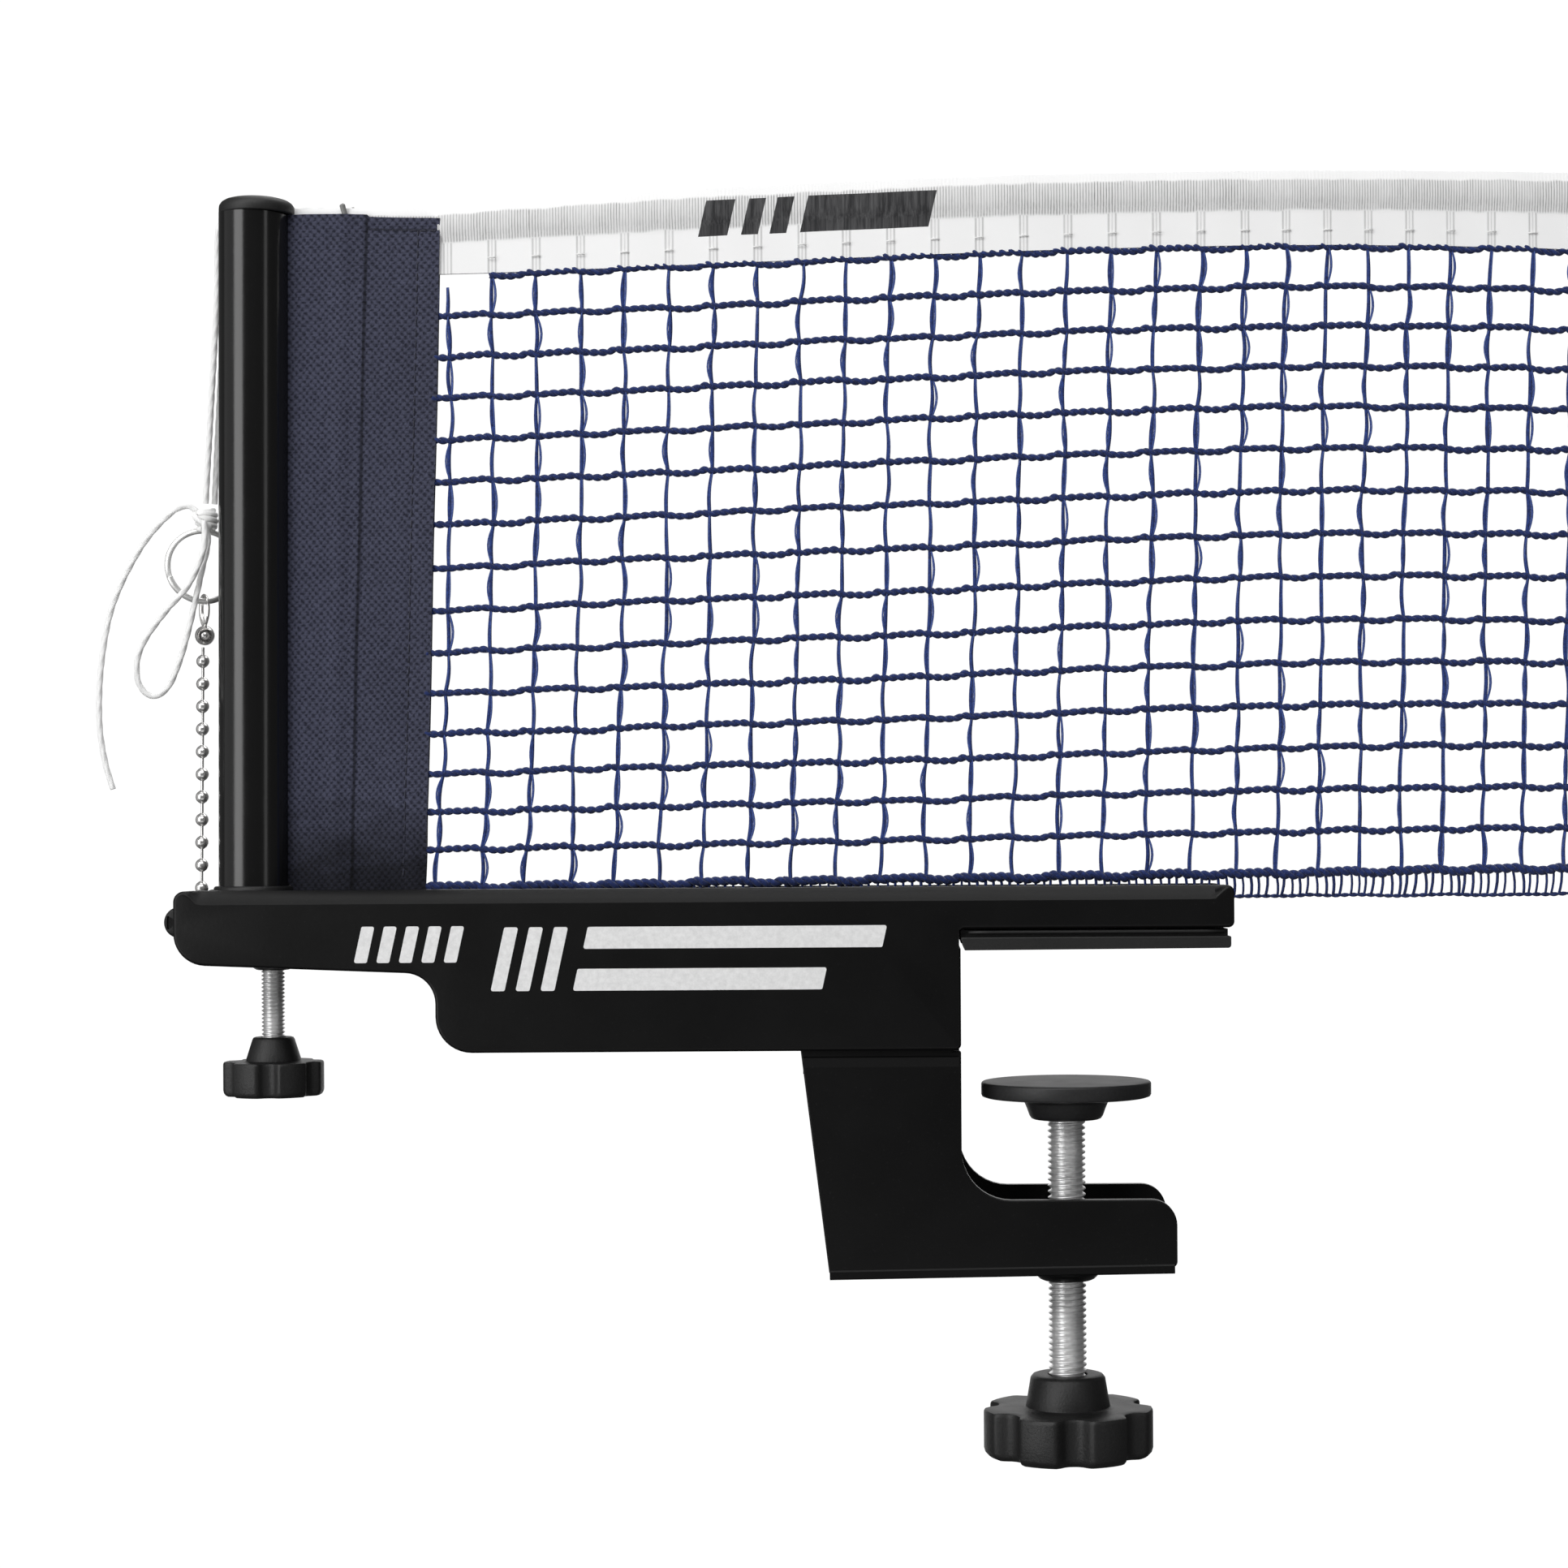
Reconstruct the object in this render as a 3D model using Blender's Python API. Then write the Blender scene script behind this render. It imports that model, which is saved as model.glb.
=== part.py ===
"""Table tennis net clamp: bracket, adjustable post and clamp screw with the net end that it carries.

Units are metres, +Z up. The origin is on the underside of the table pad, over the clamp screw's axis,
so Z = 0 is the table top. +X points along the net towards the middle of the table, and the players
look along +Y and -Y. Every separate physical piece is one object.
"""

import math

import bmesh
import bpy
from mathutils import Matrix, Vector

# Driving dimensions
GAP = 0.0003  # clearance between pieces that touch
TABLE_EDGE_X = -0.0218  # table edge, as seen from the clamp screw's axis
POST_OUTREACH = 0.14525  # post axis from the table edge
NET_TOP_Z = 0.1529  # net height at the post

# Bracket arm: a pressed sheet shell, open along the top
ARM_DEPTH = 0.034
ARM_SHEET = 0.0015
ARM_BEND = 0.0013
ARM_TOP_Z = 0.0125
ARM_BOTTOM_Z = -0.0203
ARM_END_REACH = 0.1576
ARM_STEP_REACH = 0.1052
RAIL_END = 0.0550
RAIL_BOTTOM_Z = 0.0040
TOP_SLOT = 0.0170
EDGE_RELIEF = 0.0003
TAPER = math.radians(2.4)

# Lower leg: a channel with its web at the bottom
LEG_DEPTH = 0.0304
LEG_SHEET = 0.0020
LEG_TOP_Z = 0.0020
LEG_FOOT_Z = -0.0658
LEG_FOOT_TOP_Z = -0.0503
LEG_FOOT_END = 0.0433

# Post
POST_X = TABLE_EDGE_X - POST_OUTREACH
POST_RADIUS = 0.00725
POST_WALL = 0.0010
POST_BASE_Z = 0.0055
POST_TOP_Z = 0.1521
POST_SLOT = 0.0024
BUSH_TOP_Z = 0.0133

# Screws (M5 and M8, as plain rods of their thread's mean radius) and knobs
LIFT_SCREW_X = POST_X + 0.00375
LIFT_SCREW_RADIUS = 0.0024
LIFT_SCREW_END_Z = -0.0262
CLAMP_SCREW_RADIUS = 0.0038
CLAMP_SCREW_END_Z = -0.0999
BORE_CLEARANCE = 0.0003
POINTS_PER_LOBE = 9
DISC_TOP_Z = -0.0279
DISC_RADIUS = 0.0175

# Net and its fittings
NET_END_X = TABLE_EDGE_X + 0.1390
NET_THICKNESS = 0.0015
TAPE_HEIGHT = 0.0146
NET_BOTTOM_Z = 0.0103
SLEEVE_EDGE_X = TABLE_EDGE_X - 0.1064
SLEEVE_SLANT = 0.0035  # how much further out the sleeve's edge is at its foot
SLEEVE_BOTTOM_Z = 0.0136
BATTEN_X = TABLE_EDGE_X - 0.1270

# Cord, ring and chain at the outer side of the post
CORD_DIAMETER = 0.0012
RING_Y = 0.0075
CHAIN_X = TABLE_EDGE_X - 0.1565
BALL_RADIUS = 0.0013
BALL_PITCH = 0.004716
BALL_COUNT = 13
CHAIN_TOP_Z = 0.0601


# ---------------------------------------------------------------- scene, materials and helpers


def clear_scene():
    for obj in list(bpy.data.objects):
        bpy.data.objects.remove(obj, do_unlink=True)


def material(name, colour, roughness, metallic=0.0):
    made = bpy.data.materials.new(name)
    made.use_nodes = True
    shader = made.node_tree.nodes["Principled BSDF"]
    shader.inputs["Base Color"].default_value = (*colour, 1.0)
    shader.inputs["Roughness"].default_value = roughness
    shader.inputs["Metallic"].default_value = metallic
    return made


def black_steel(name):
    return material(name, (0.010, 0.010, 0.010), 0.38)


def black_plastic(name):
    return material(name, (0.018, 0.018, 0.018), 0.55)


def zinc_steel(name):
    return material(name, (0.72, 0.72, 0.74), 0.28, 1.0)


def edge_x(offset):
    """World X of a point given from the table edge."""
    return TABLE_EDGE_X + offset


def finish_object(name, mesh, slot):
    mesh.materials.append(slot)
    mesh.shade_smooth()
    mesh.set_sharp_from_angle(angle=math.radians(35))
    obj = bpy.data.objects.new(name, mesh)
    bpy.context.scene.collection.objects.link(obj)
    return obj


def from_bmesh(name, bm, slot):
    bmesh.ops.recalc_face_normals(bm, faces=bm.faces)
    mesh = bpy.data.meshes.new(name)
    bm.to_mesh(mesh)
    bm.free()
    return finish_object(name, mesh, slot)


def rounded(corners, steps=5):
    """Outline of (x, z) points from corners (x, z, radius), with an arc at each rounded corner."""
    outline = []
    for index, (x, z, radius) in enumerate(corners):
        here = Vector((x, z))
        before = (Vector(corners[index - 1][:2]) - here).normalized()
        after = (Vector(corners[(index + 1) % len(corners)][:2]) - here).normalized()
        if radius == 0:
            outline.append(here)
            continue
        half = before.angle(after) / 2
        centre = here + (before + after).normalized() * radius / math.sin(half)
        start = here + before * radius / math.tan(half) - centre
        end = here + after * radius / math.tan(half) - centre
        turn = start.angle_signed(end)
        for step in range(steps + 1):
            angle = -turn * step / steps
            outline.append(
                centre
                + Vector(
                    (
                        start.x * math.cos(angle) - start.y * math.sin(angle),
                        start.x * math.sin(angle) + start.y * math.cos(angle),
                    )
                )
            )
    return outline


def prism(name, outline, y_low, y_high, slot, bend=0.0, bend_test=None):
    """Outline in XZ extruded along Y. bend rounds the front and back rims where bend_test says so."""
    bm = bmesh.new()
    front = [bm.verts.new((x, y_low, z)) for x, z in outline]
    back = [bm.verts.new((x, y_high, z)) for x, z in outline]
    bm.faces.new(front)
    bm.faces.new(list(reversed(back)))
    rims = []
    count = len(outline)
    for index in range(count):
        after = (index + 1) % count
        bm.faces.new((front[index], back[index], back[after], front[after]))
        for rim in (front, back):
            rims.append(bm.edges.get((rim[index], rim[after])))
    if bend:
        chosen = [edge for edge in rims if bend_test is None or bend_test(edge)]
        bmesh.ops.bevel(
            bm, geom=chosen, offset=bend, segments=3, profile=0.5, affect="EDGES"
        )
    return from_bmesh(name, bm, slot)


def box(name, low, high, slot):
    outline = [(low[0], low[2]), (high[0], low[2]), (high[0], high[2]), (low[0], high[2])]
    return prism(name, outline, low[1], high[1], slot)


def turned(name, stations, slot, x=0.0, y=0.0, count=32, phase=0.0):
    """Solid round a vertical axis, from stations (z, radius) given from its top to its bottom.

    A radius of 0 is a pole, a radius may be a function of the angle, and a solid whose first and
    last stations aren't poles closes on itself, which leaves a bore.
    """
    bm = bmesh.new()
    rings = []
    for z, radius in stations:
        if radius == 0:
            rings.append([bm.verts.new((x, y, z))])
            continue
        ring = []
        for index in range(count):
            angle = phase + math.tau * index / count
            reach = radius(angle) if callable(radius) else radius
            ring.append(bm.verts.new((x + reach * math.cos(angle), y + reach * math.sin(angle), z)))
        rings.append(ring)
    pairs = list(zip(rings, rings[1:]))
    if len(rings[0]) > 1:
        pairs.append((rings[-1], rings[0]))
    for above, below in pairs:
        for index in range(count):
            after = (index + 1) % count
            corners = [above[index % len(above)], below[index % len(below)]]
            corners += [below[after % len(below)], above[after % len(above)]]
            bm.faces.new(list(dict.fromkeys(corners)))
    return from_bmesh(name, bm, slot)


def torus(name, centre, major, minor, slot, turn=(0.0, 0.0, 0.0), counts=(28, 8)):
    """Ring round its own Z, turned and then moved to its centre."""
    stations = []
    for index in range(counts[1]):
        angle = math.tau * index / counts[1]
        stations.append((minor * math.sin(angle), major + minor * math.cos(angle)))
    ring = turned(name, stations, slot, count=counts[0])
    ring.rotation_euler = turn
    ring.location = centre
    return ring


def boolean(target, other, operation):
    """Cuts or joins with an object that is then only a helper."""
    step = target.modifiers.new(other.name, "BOOLEAN")
    step.operation = operation
    step.solver = "EXACT"
    step.object = other
    other.hide_render = True
    other.display_type = "WIRE"
    return target


def cut(target, *cutters):
    for cutter in cutters:
        boolean(target, cutter, "DIFFERENCE")
    return target


def in_millimetres(target):
    """Keeps the mesh in millimetres and scales the object back, so that Booleans round off less."""
    target.data.transform(Matrix.Scale(1000, 4))
    target.scale = (0.001, 0.001, 0.001)
    return target


def triangulated(target):
    """Long faces split into well shaped triangles."""
    split = target.modifiers.new("triangles", "TRIANGULATE")
    split.quad_method = "BEAUTY"
    split.ngon_method = "BEAUTY"
    return target


def join(target, *others):
    for other in others:
        boolean(target, other, "UNION")
    return target


def smooth_route(points, spacing):
    """Evenly spread points on a Catmull-Rom curve through the route's own points."""
    points = [Vector(point) for point in points]
    padded = [2 * points[0] - points[1], *points, 2 * points[-1] - points[-2]]
    fine = []
    steps = 24
    for index in range(1, len(padded) - 2):
        before, start, end, after = padded[index - 1 : index + 3]
        for step in range(steps):
            t = step / steps
            fine.append(
                0.5
                * (
                    2 * start
                    + (end - before) * t
                    + (2 * before - 5 * start + 4 * end - after) * t * t
                    + (3 * start - before - 3 * end + after) * t**3
                )
            )
    fine.append(points[-1])
    walked = [0.0]
    for start, end in zip(fine, fine[1:]):
        walked.append(walked[-1] + (end - start).length)
    count = max(2, round(walked[-1] / spacing))
    spread = []
    index = 0
    for step in range(count + 1):
        wanted = walked[-1] * step / count
        while index < len(walked) - 2 and walked[index + 1] < wanted:
            index += 1
        share = (wanted - walked[index]) / (walked[index + 1] - walked[index])
        spread.append(fine[index].lerp(fine[index + 1], share))
    return spread


def cord(name, route, slot):
    """Round cord along a route, as a curve with filled ends."""
    spread = smooth_route(route, 2.4 * CORD_DIAMETER)
    curve = bpy.data.curves.new(name, "CURVE")
    curve.dimensions = "3D"
    curve.bevel_depth = CORD_DIAMETER / 2
    curve.bevel_resolution = 2
    curve.use_fill_caps = True
    spline = curve.splines.new("POLY")
    spline.points.add(len(spread) - 1)
    for place, point in zip(spline.points, spread):
        place.co = (*point, 1.0)
    curve.materials.append(slot)
    obj = bpy.data.objects.new(name, curve)
    bpy.context.scene.collection.objects.link(obj)
    return obj


# ---------------------------------------------------------------- bracket


def arm_outline(inset):
    """Side view of the arm, drawn in by the inset. The inner one runs out through the rail's end."""
    left = edge_x(-ARM_END_REACH) + inset
    step = edge_x(-ARM_STEP_REACH) + inset
    drop = math.tan(TAPER)
    end_z = -0.00225 + inset
    step_z = end_z - (step - left) * drop
    rail_end = edge_x(RAIL_END) + (0.005 if inset else 0.0)
    inner = edge_x(0.0) - inset
    return [
        (left, ARM_TOP_Z - inset, 0.0022 - inset),
        (left, end_z, 0.0065 - inset),
        (step, step_z, 0.0062 + inset),
        (step, ARM_BOTTOM_Z + inset, 0.0073 - inset),
        (inner, ARM_BOTTOM_Z + inset, 0.0018 - inset),
        (inner, RAIL_BOTTOM_Z + inset, 0.0008),
        (rail_end, RAIL_BOTTOM_Z + inset, 0.0018 - inset),
        (rail_end, ARM_TOP_Z - inset, 0.0018 - inset),
    ]


def make_arm():
    """Front and back walls, a floor round the lower outline and two lips that leave a slot on top.

    The inner face is set back a little above the table's edge, clear of the pad.
    """
    slot = black_steel("arm_black_steel")
    half = ARM_DEPTH / 2
    arm = prism("arm_shell", rounded(arm_outline(0.0)), -half, half, slot, bend=ARM_BEND)
    in_millimetres(arm)
    inside = half - ARM_SHEET
    hollow = prism("arm_hollow", rounded(arm_outline(ARM_SHEET)), -inside, inside, slot)
    far_left = edge_x(-ARM_END_REACH) - 0.004
    top_slot = box(
        "arm_top_slot",
        (far_left, -TOP_SLOT / 2, 0.0102),
        (edge_x(RAIL_END) + 0.004, TOP_SLOT / 2, 0.0160),
        slot,
    )
    end_slot = box(
        "arm_end_slot",
        (far_left, -TOP_SLOT / 2, -0.0060),
        (edge_x(-0.1517), TOP_SLOT / 2, 0.0150),
        slot,
    )
    leg_window = box(
        "arm_leg_window",
        (edge_x(-0.0337), -inside, ARM_BOTTOM_Z - 0.003),
        (edge_x(-ARM_SHEET), inside, ARM_BOTTOM_Z + 0.003),
        slot,
    )
    screw_hole = turned(
        "arm_screw_hole",
        [(0.002, 0), (0.002, 0.0031), (-0.008, 0.0031), (-0.008, 0)],
        slot,
        x=LIFT_SCREW_X,
        count=24,
    )
    relief = box(
        "arm_edge_relief",
        (edge_x(-EDGE_RELIEF), -half - 0.001, 0.0),
        (edge_x(0.0030), half + 0.001, RAIL_BOTTOM_Z - 0.00015),
        slot,
    )
    cut(arm, hollow, top_slot, end_slot, leg_window, screw_hole, relief)
    return triangulated(arm)


def make_leg():
    """Two side plates that hang from inside the arm, joined by the web under the foot."""
    slot = black_steel("leg_black_steel")
    slant = 0.1244
    top_left = -0.0323 - slant * (LEG_TOP_Z + 0.021)
    foot_left = -0.0323 + slant * (-0.021 - LEG_FOOT_Z)
    seam_z = ARM_BOTTOM_Z - GAP
    corners = [
        (edge_x(top_left), LEG_TOP_Z, 0.001),
        (edge_x(foot_left), LEG_FOOT_Z, 0.0012),
        (edge_x(LEG_FOOT_END), LEG_FOOT_Z, 0.0012),
        (edge_x(LEG_FOOT_END), LEG_FOOT_TOP_Z, 0.0040),
        (edge_x(0.0), LEG_FOOT_TOP_Z, 0.0100),
        (edge_x(0.0), seam_z, 0.0004),
        (edge_x(-ARM_SHEET - GAP), seam_z, 0.0),
        (edge_x(-ARM_SHEET - GAP), LEG_TOP_Z, 0.0),
    ]
    half = LEG_DEPTH / 2

    def along_foot(edge):
        return all(vert.co.z < LEG_FOOT_Z + 0.0013 for vert in edge.verts)

    leg = prism("leg_channel", rounded(corners), -half, half, slot, 0.0022, along_foot)
    inside = half - LEG_SHEET
    channel = box(
        "leg_inside",
        (edge_x(-0.040), -inside, LEG_FOOT_Z + LEG_SHEET),
        (edge_x(0.050), inside, LEG_TOP_Z + 0.004),
        slot,
    )
    nut_hole = turned(
        "leg_nut_hole",
        [(-0.062, 0), (-0.062, 0.0058), (-0.069, 0.0058), (-0.069, 0)],
        slot,
        count=32,
    )
    return cut(leg, channel, nut_hole)


def make_table_pad():
    """Extruded strip under the rail with a narrower neck, so that a groove shows above it."""
    slot = black_plastic("pad_rubber")
    body = [
        (edge_x(0.0012), 0.0),
        (edge_x(0.0541), 0.0),
        (edge_x(0.0541), 0.0023),
        (edge_x(0.0004), 0.0023),
    ]
    pad = prism("table_pad", body, -0.017, 0.017, slot)
    neck = box(
        "pad_neck",
        (edge_x(0.0016), -0.0150, 0.0018),
        (edge_x(0.0536), 0.0150, RAIL_BOTTOM_Z - GAP),
        slot,
    )
    return join(pad, neck)


def make_chain_anchor():
    """Cross strap behind the arm's end flanges, with a keyhole for the chain and a round ear."""
    slot = black_steel("anchor_black_steel")
    strap_z = (0.00527, 0.00643)
    inner_x = edge_x(-0.1558)
    anchor = box(
        "chain_anchor",
        (inner_x, -0.0148, strap_z[0]),
        (edge_x(-0.1541), 0.0148, strap_z[1]),
        slot,
    )
    tongue = box(
        "anchor_tongue",
        (edge_x(-0.1600), -0.0066, strap_z[0]),
        (edge_x(-0.1550), 0.0066, strap_z[1]),
        slot,
    )
    ear = turned(
        "anchor_ear",
        [(0.0006, 0), (0.0006, 0.0035), (-0.0006, 0.0035), (-0.0006, 0)],
        slot,
        count=28,
    )
    ear_hole = turned(
        "anchor_ear_hole",
        [(0.002, 0), (0.002, 0.0013), (-0.002, 0.0013), (-0.002, 0)],
        slot,
        count=16,
    )
    for piece, x in ((ear, -0.1602), (ear_hole, -0.1618)):
        piece.rotation_euler = (math.pi / 2, 0.0, 0.0)
        piece.location = (edge_x(x), -0.0020, 0.0059)
    keyway = box(
        "anchor_keyway",
        (edge_x(-0.1650), RING_Y - 0.0042, 0.004),
        (CHAIN_X + 0.0008, RING_Y - 0.0026, 0.008),
        slot,
    )
    join(anchor, tongue, ear)
    return cut(anchor, ear_hole, keyway)


# ---------------------------------------------------------------- post and its height screw


def make_post_tube():
    """Round tube with one slot along its net side, where the net's fabric edge goes in."""
    slot = material("post_black_gloss", (0.012, 0.012, 0.012), 0.30)
    tube = turned(
        "post_tube",
        [
            (POST_TOP_Z, POST_RADIUS - POST_WALL),
            (POST_TOP_Z, POST_RADIUS),
            (POST_BASE_Z, POST_RADIUS),
            (POST_BASE_Z, POST_RADIUS - POST_WALL),
        ],
        slot,
        x=POST_X,
        count=40,
    )
    slit = box(
        "post_slit",
        (POST_X + 0.004, -POST_SLOT / 2, BUSH_TOP_Z + 0.0002),
        (POST_X + 0.010, POST_SLOT / 2, POST_TOP_Z + 0.002),
        slot,
    )
    return cut(tube, slit)


def make_post_cap():
    """Domed cap with a skirt that plugs the tube."""
    slot = black_plastic("cap_plastic")
    return turned(
        "post_cap",
        [
            (0.1556, 0),
            (0.1556, 0.0050),
            (0.1553, 0.0066),
            (0.1545, 0.0074),
            (0.1535, 0.00765),
            (POST_TOP_Z + GAP, 0.00765),
            (POST_TOP_Z + GAP, 0.0058),
            (POST_TOP_Z - 0.0012, 0.0058),
            (POST_TOP_Z - 0.0012, 0),
        ],
        slot,
        x=POST_X,
        count=40,
    )


def make_post_bush():
    """Guide bush in the arm's top slot; a shoulder under the lips holds it down."""
    bore = POST_RADIUS + 0.00015
    return turned(
        "post_bush",
        [
            (BUSH_TOP_Z, bore),
            (BUSH_TOP_Z, 0.0079),
            (BUSH_TOP_Z - 0.0004, 0.0082),
            (0.0107, 0.0082),
            (0.0107, 0.0104),
            (0.0085, 0.0104),
            (0.0085, 0.0086),
            (0.0017, 0.0086),
            (0.0017, bore),
        ],
        black_plastic("bush_plastic"),
        x=POST_X,
        count=40,
    )


def make_post_foot():
    """Plug that closes the tube's lower end, with a pocket for the height screw's tip."""
    slot = black_plastic("foot_plastic")
    foot = turned(
        "post_foot",
        [
            (0.0110, 0),
            (0.0110, 0.0054),
            (0.0106, 0.0058),
            (POST_BASE_Z - GAP, 0.0058),
            (POST_BASE_Z - GAP, 0.0072),
            (0.0017, 0.0072),
            (0.0017, 0),
        ],
        slot,
        x=POST_X,
        count=32,
    )
    pocket = turned(
        "foot_pocket",
        [(0.0035, 0), (0.0035, 0.0019), (0.0007, 0.0019), (0.0007, 0)],
        slot,
        x=LIFT_SCREW_X,
        count=20,
    )
    return cut(foot, pocket)


def make_height_nut():
    """Threaded plate on the arm's floor, under the post's foot."""
    slot = zinc_steel("height_nut_zinc")
    outline = rounded(
        [
            (POST_X - 0.0062, -0.0006, 0),
            (POST_X + 0.0080, -0.0006, 0),
            (POST_X + 0.0080, 0.0014, 0.0004),
            (POST_X - 0.0062, 0.0014, 0.0004),
        ]
    )
    nut = prism("height_nut", outline, -0.0070, 0.0070, slot)
    bore_radius = LIFT_SCREW_RADIUS + BORE_CLEARANCE
    bore = turned(
        "height_nut_bore",
        [(0.003, 0), (0.003, bore_radius), (-0.003, bore_radius), (-0.003, 0)],
        slot,
        x=LIFT_SCREW_X,
        count=24,
    )
    return cut(nut, bore)


def make_height_screw():
    slot = zinc_steel("height_screw_zinc")
    return turned(
        "height_screw",
        [
            (0.0032, 0),
            (0.0032, 0.0013),
            (0.0029, 0.0016),
            (0.0010, 0.0016),
            (0.0004, LIFT_SCREW_RADIUS),
            (LIFT_SCREW_END_Z, LIFT_SCREW_RADIUS),
            (LIFT_SCREW_END_Z, 0),
        ],
        slot,
        x=LIFT_SCREW_X,
        count=24,
    )


# ---------------------------------------------------------------- knobs and clamp screw


def lobed(outer, valley, lobes, start):
    """Radius of a star knob by angle: wide round lobes with narrow valleys between them."""

    def radius(angle):
        wave = 0.5 - 0.5 * math.cos(lobes * (angle - start))
        return outer - (outer - valley) * wave**1.6

    return radius


def make_knob(name, x, start, lobes, outer, valley, hub, heights, bore):
    """Star knob with a tapered hub on top and a blind bore for its screw.

    hub is (top radius, base radius), heights are the hub's top, the lobes' top and bottom and the
    bore's end, and bore is its radius.
    """
    hub_top, lobe_top, lobe_bottom, bore_end = heights
    shoulder = 0.10 * (lobe_top - lobe_bottom)
    soft = lobed(0.94 * outer, 0.93 * valley, lobes, start)
    stations = [
        (bore_end, 0),
        (bore_end, bore),
        (hub_top, bore),
        (hub_top, 0.90 * hub[0]),
        (hub_top - 0.3 * shoulder, hub[0]),
        (lobe_top + 0.6 * shoulder, hub[1]),
        (lobe_top, 1.15 * hub[1]),
        (lobe_top - 0.4 * shoulder, soft),
        (lobe_top - 1.6 * shoulder, lobed(outer, valley, lobes, start)),
        (lobe_bottom + 1.2 * shoulder, lobed(outer, valley, lobes, start)),
        (lobe_bottom, soft),
        (lobe_bottom, 0),
    ]
    return turned(name, stations, black_plastic(name + "_plastic"), x=x, count=POINTS_PER_LOBE * lobes, phase=start)


def make_knobs():
    make_knob(
        "height_knob",
        LIFT_SCREW_X,
        math.radians(-115),
        6,
        0.0105,
        0.0086,
        (0.0043, 0.0056),
        (-0.0178, -0.0229, -0.0293, LIFT_SCREW_END_Z - BORE_CLEARANCE),
        LIFT_SCREW_RADIUS + BORE_CLEARANCE,
    )
    make_knob(
        "clamp_knob",
        0.0,
        math.radians(-114),
        7,
        0.0175,
        0.0145,
        (0.0077, 0.0087),
        (-0.0882, -0.0951, -0.1052, CLAMP_SCREW_END_Z - BORE_CLEARANCE),
        CLAMP_SCREW_RADIUS + BORE_CLEARANCE,
    )


def make_clamp_nut():
    """Pressed-in nut: tapered collar under the foot's web, boss through it and hexagon above."""
    slot = black_steel("nut_black_steel")
    bore = CLAMP_SCREW_RADIUS + BORE_CLEARANCE
    web_low = LEG_FOOT_Z - GAP
    web_high = LEG_FOOT_Z + LEG_SHEET + GAP
    nut = turned(
        "clamp_nut",
        [
            (web_high + 0.0035, bore),
            (web_high + 0.0035, 0.0054),
            (web_low, 0.0054),
            (web_low, 0.0066),
            (web_low - 0.0019, 0.0052),
            (web_low - 0.0019, bore),
        ],
        slot,
        count=32,
    )
    hexagon = turned(
        "nut_hexagon",
        [(web_high + 0.0050, bore), (web_high + 0.0050, 0.0074), (web_high, 0.0074), (web_high, bore)],
        slot,
        count=6,
    )
    hex_bore = turned(
        "nut_hex_bore",
        [(web_high + 0.008, 0), (web_high + 0.008, bore), (web_low - 0.004, bore), (web_low - 0.004, 0)],
        slot,
        count=32,
    )
    join(nut, hexagon)
    return cut(nut, hex_bore)


def make_clamp_screw():
    """M8 screw with a grooved tip that turns in the disc."""
    slot = zinc_steel("clamp_screw_zinc")
    return turned(
        "clamp_screw",
        [
            (-0.0312, 0),
            (-0.0312, 0.0022),
            (-0.0316, 0.0026),
            (-0.0320, 0.0026),
            (-0.0320, 0.0019),
            (-0.0330, 0.0019),
            (-0.0330, 0.0026),
            (-0.0347, 0.0026),
            (-0.0358, CLAMP_SCREW_RADIUS),
            (CLAMP_SCREW_END_Z, CLAMP_SCREW_RADIUS),
            (CLAMP_SCREW_END_Z, 0),
        ],
        slot,
        count=32,
    )


def make_clamp_disc():
    """Pressure disc with a flared neck; a pocket inside holds the screw's tip and its clip."""
    slot = material("disc_plastic", (0.030, 0.030, 0.032), 0.42)
    return turned(
        "clamp_disc",
        [
            (DISC_TOP_Z, 0),
            (DISC_TOP_Z, DISC_RADIUS - 0.0003),
            (DISC_TOP_Z - 0.0003, DISC_RADIUS),
            (DISC_TOP_Z - 0.0024, DISC_RADIUS),
            (DISC_TOP_Z - 0.0029, DISC_RADIUS - 0.0006),
            (-0.0313, 0.0096),
            (-0.0327, 0.0085),
            (-0.0344, 0.0078),
            (-0.0357, 0.0071),
            (-0.0357, 0.0042),
            (-0.0345, 0.0029),
            (-0.0335, 0.0029),
            (-0.0335, 0.0046),
            (-0.0308, 0.0046),
            (-0.0308, 0),
        ],
        slot,
        count=36,
    )


def make_disc_clip():
    """Spring clip in the tip's groove, which keeps the disc on the screw."""
    slot = zinc_steel("clip_zinc")
    return turned(
        "disc_clip",
        [(-0.0321, 0.0021), (-0.0321, 0.0042), (-0.0329, 0.0042), (-0.0329, 0.0021)],
        slot,
        count=28,
    )


# ---------------------------------------------------------------- net


def tape_top(x):
    """Height of the net's arched top edge."""
    run = (x - edge_x(-0.1055)) / (NET_END_X - edge_x(-0.1055))
    if run < 0:
        return NET_TOP_Z
    return NET_TOP_Z + 0.0182 * run - 0.0129 * run * run


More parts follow.
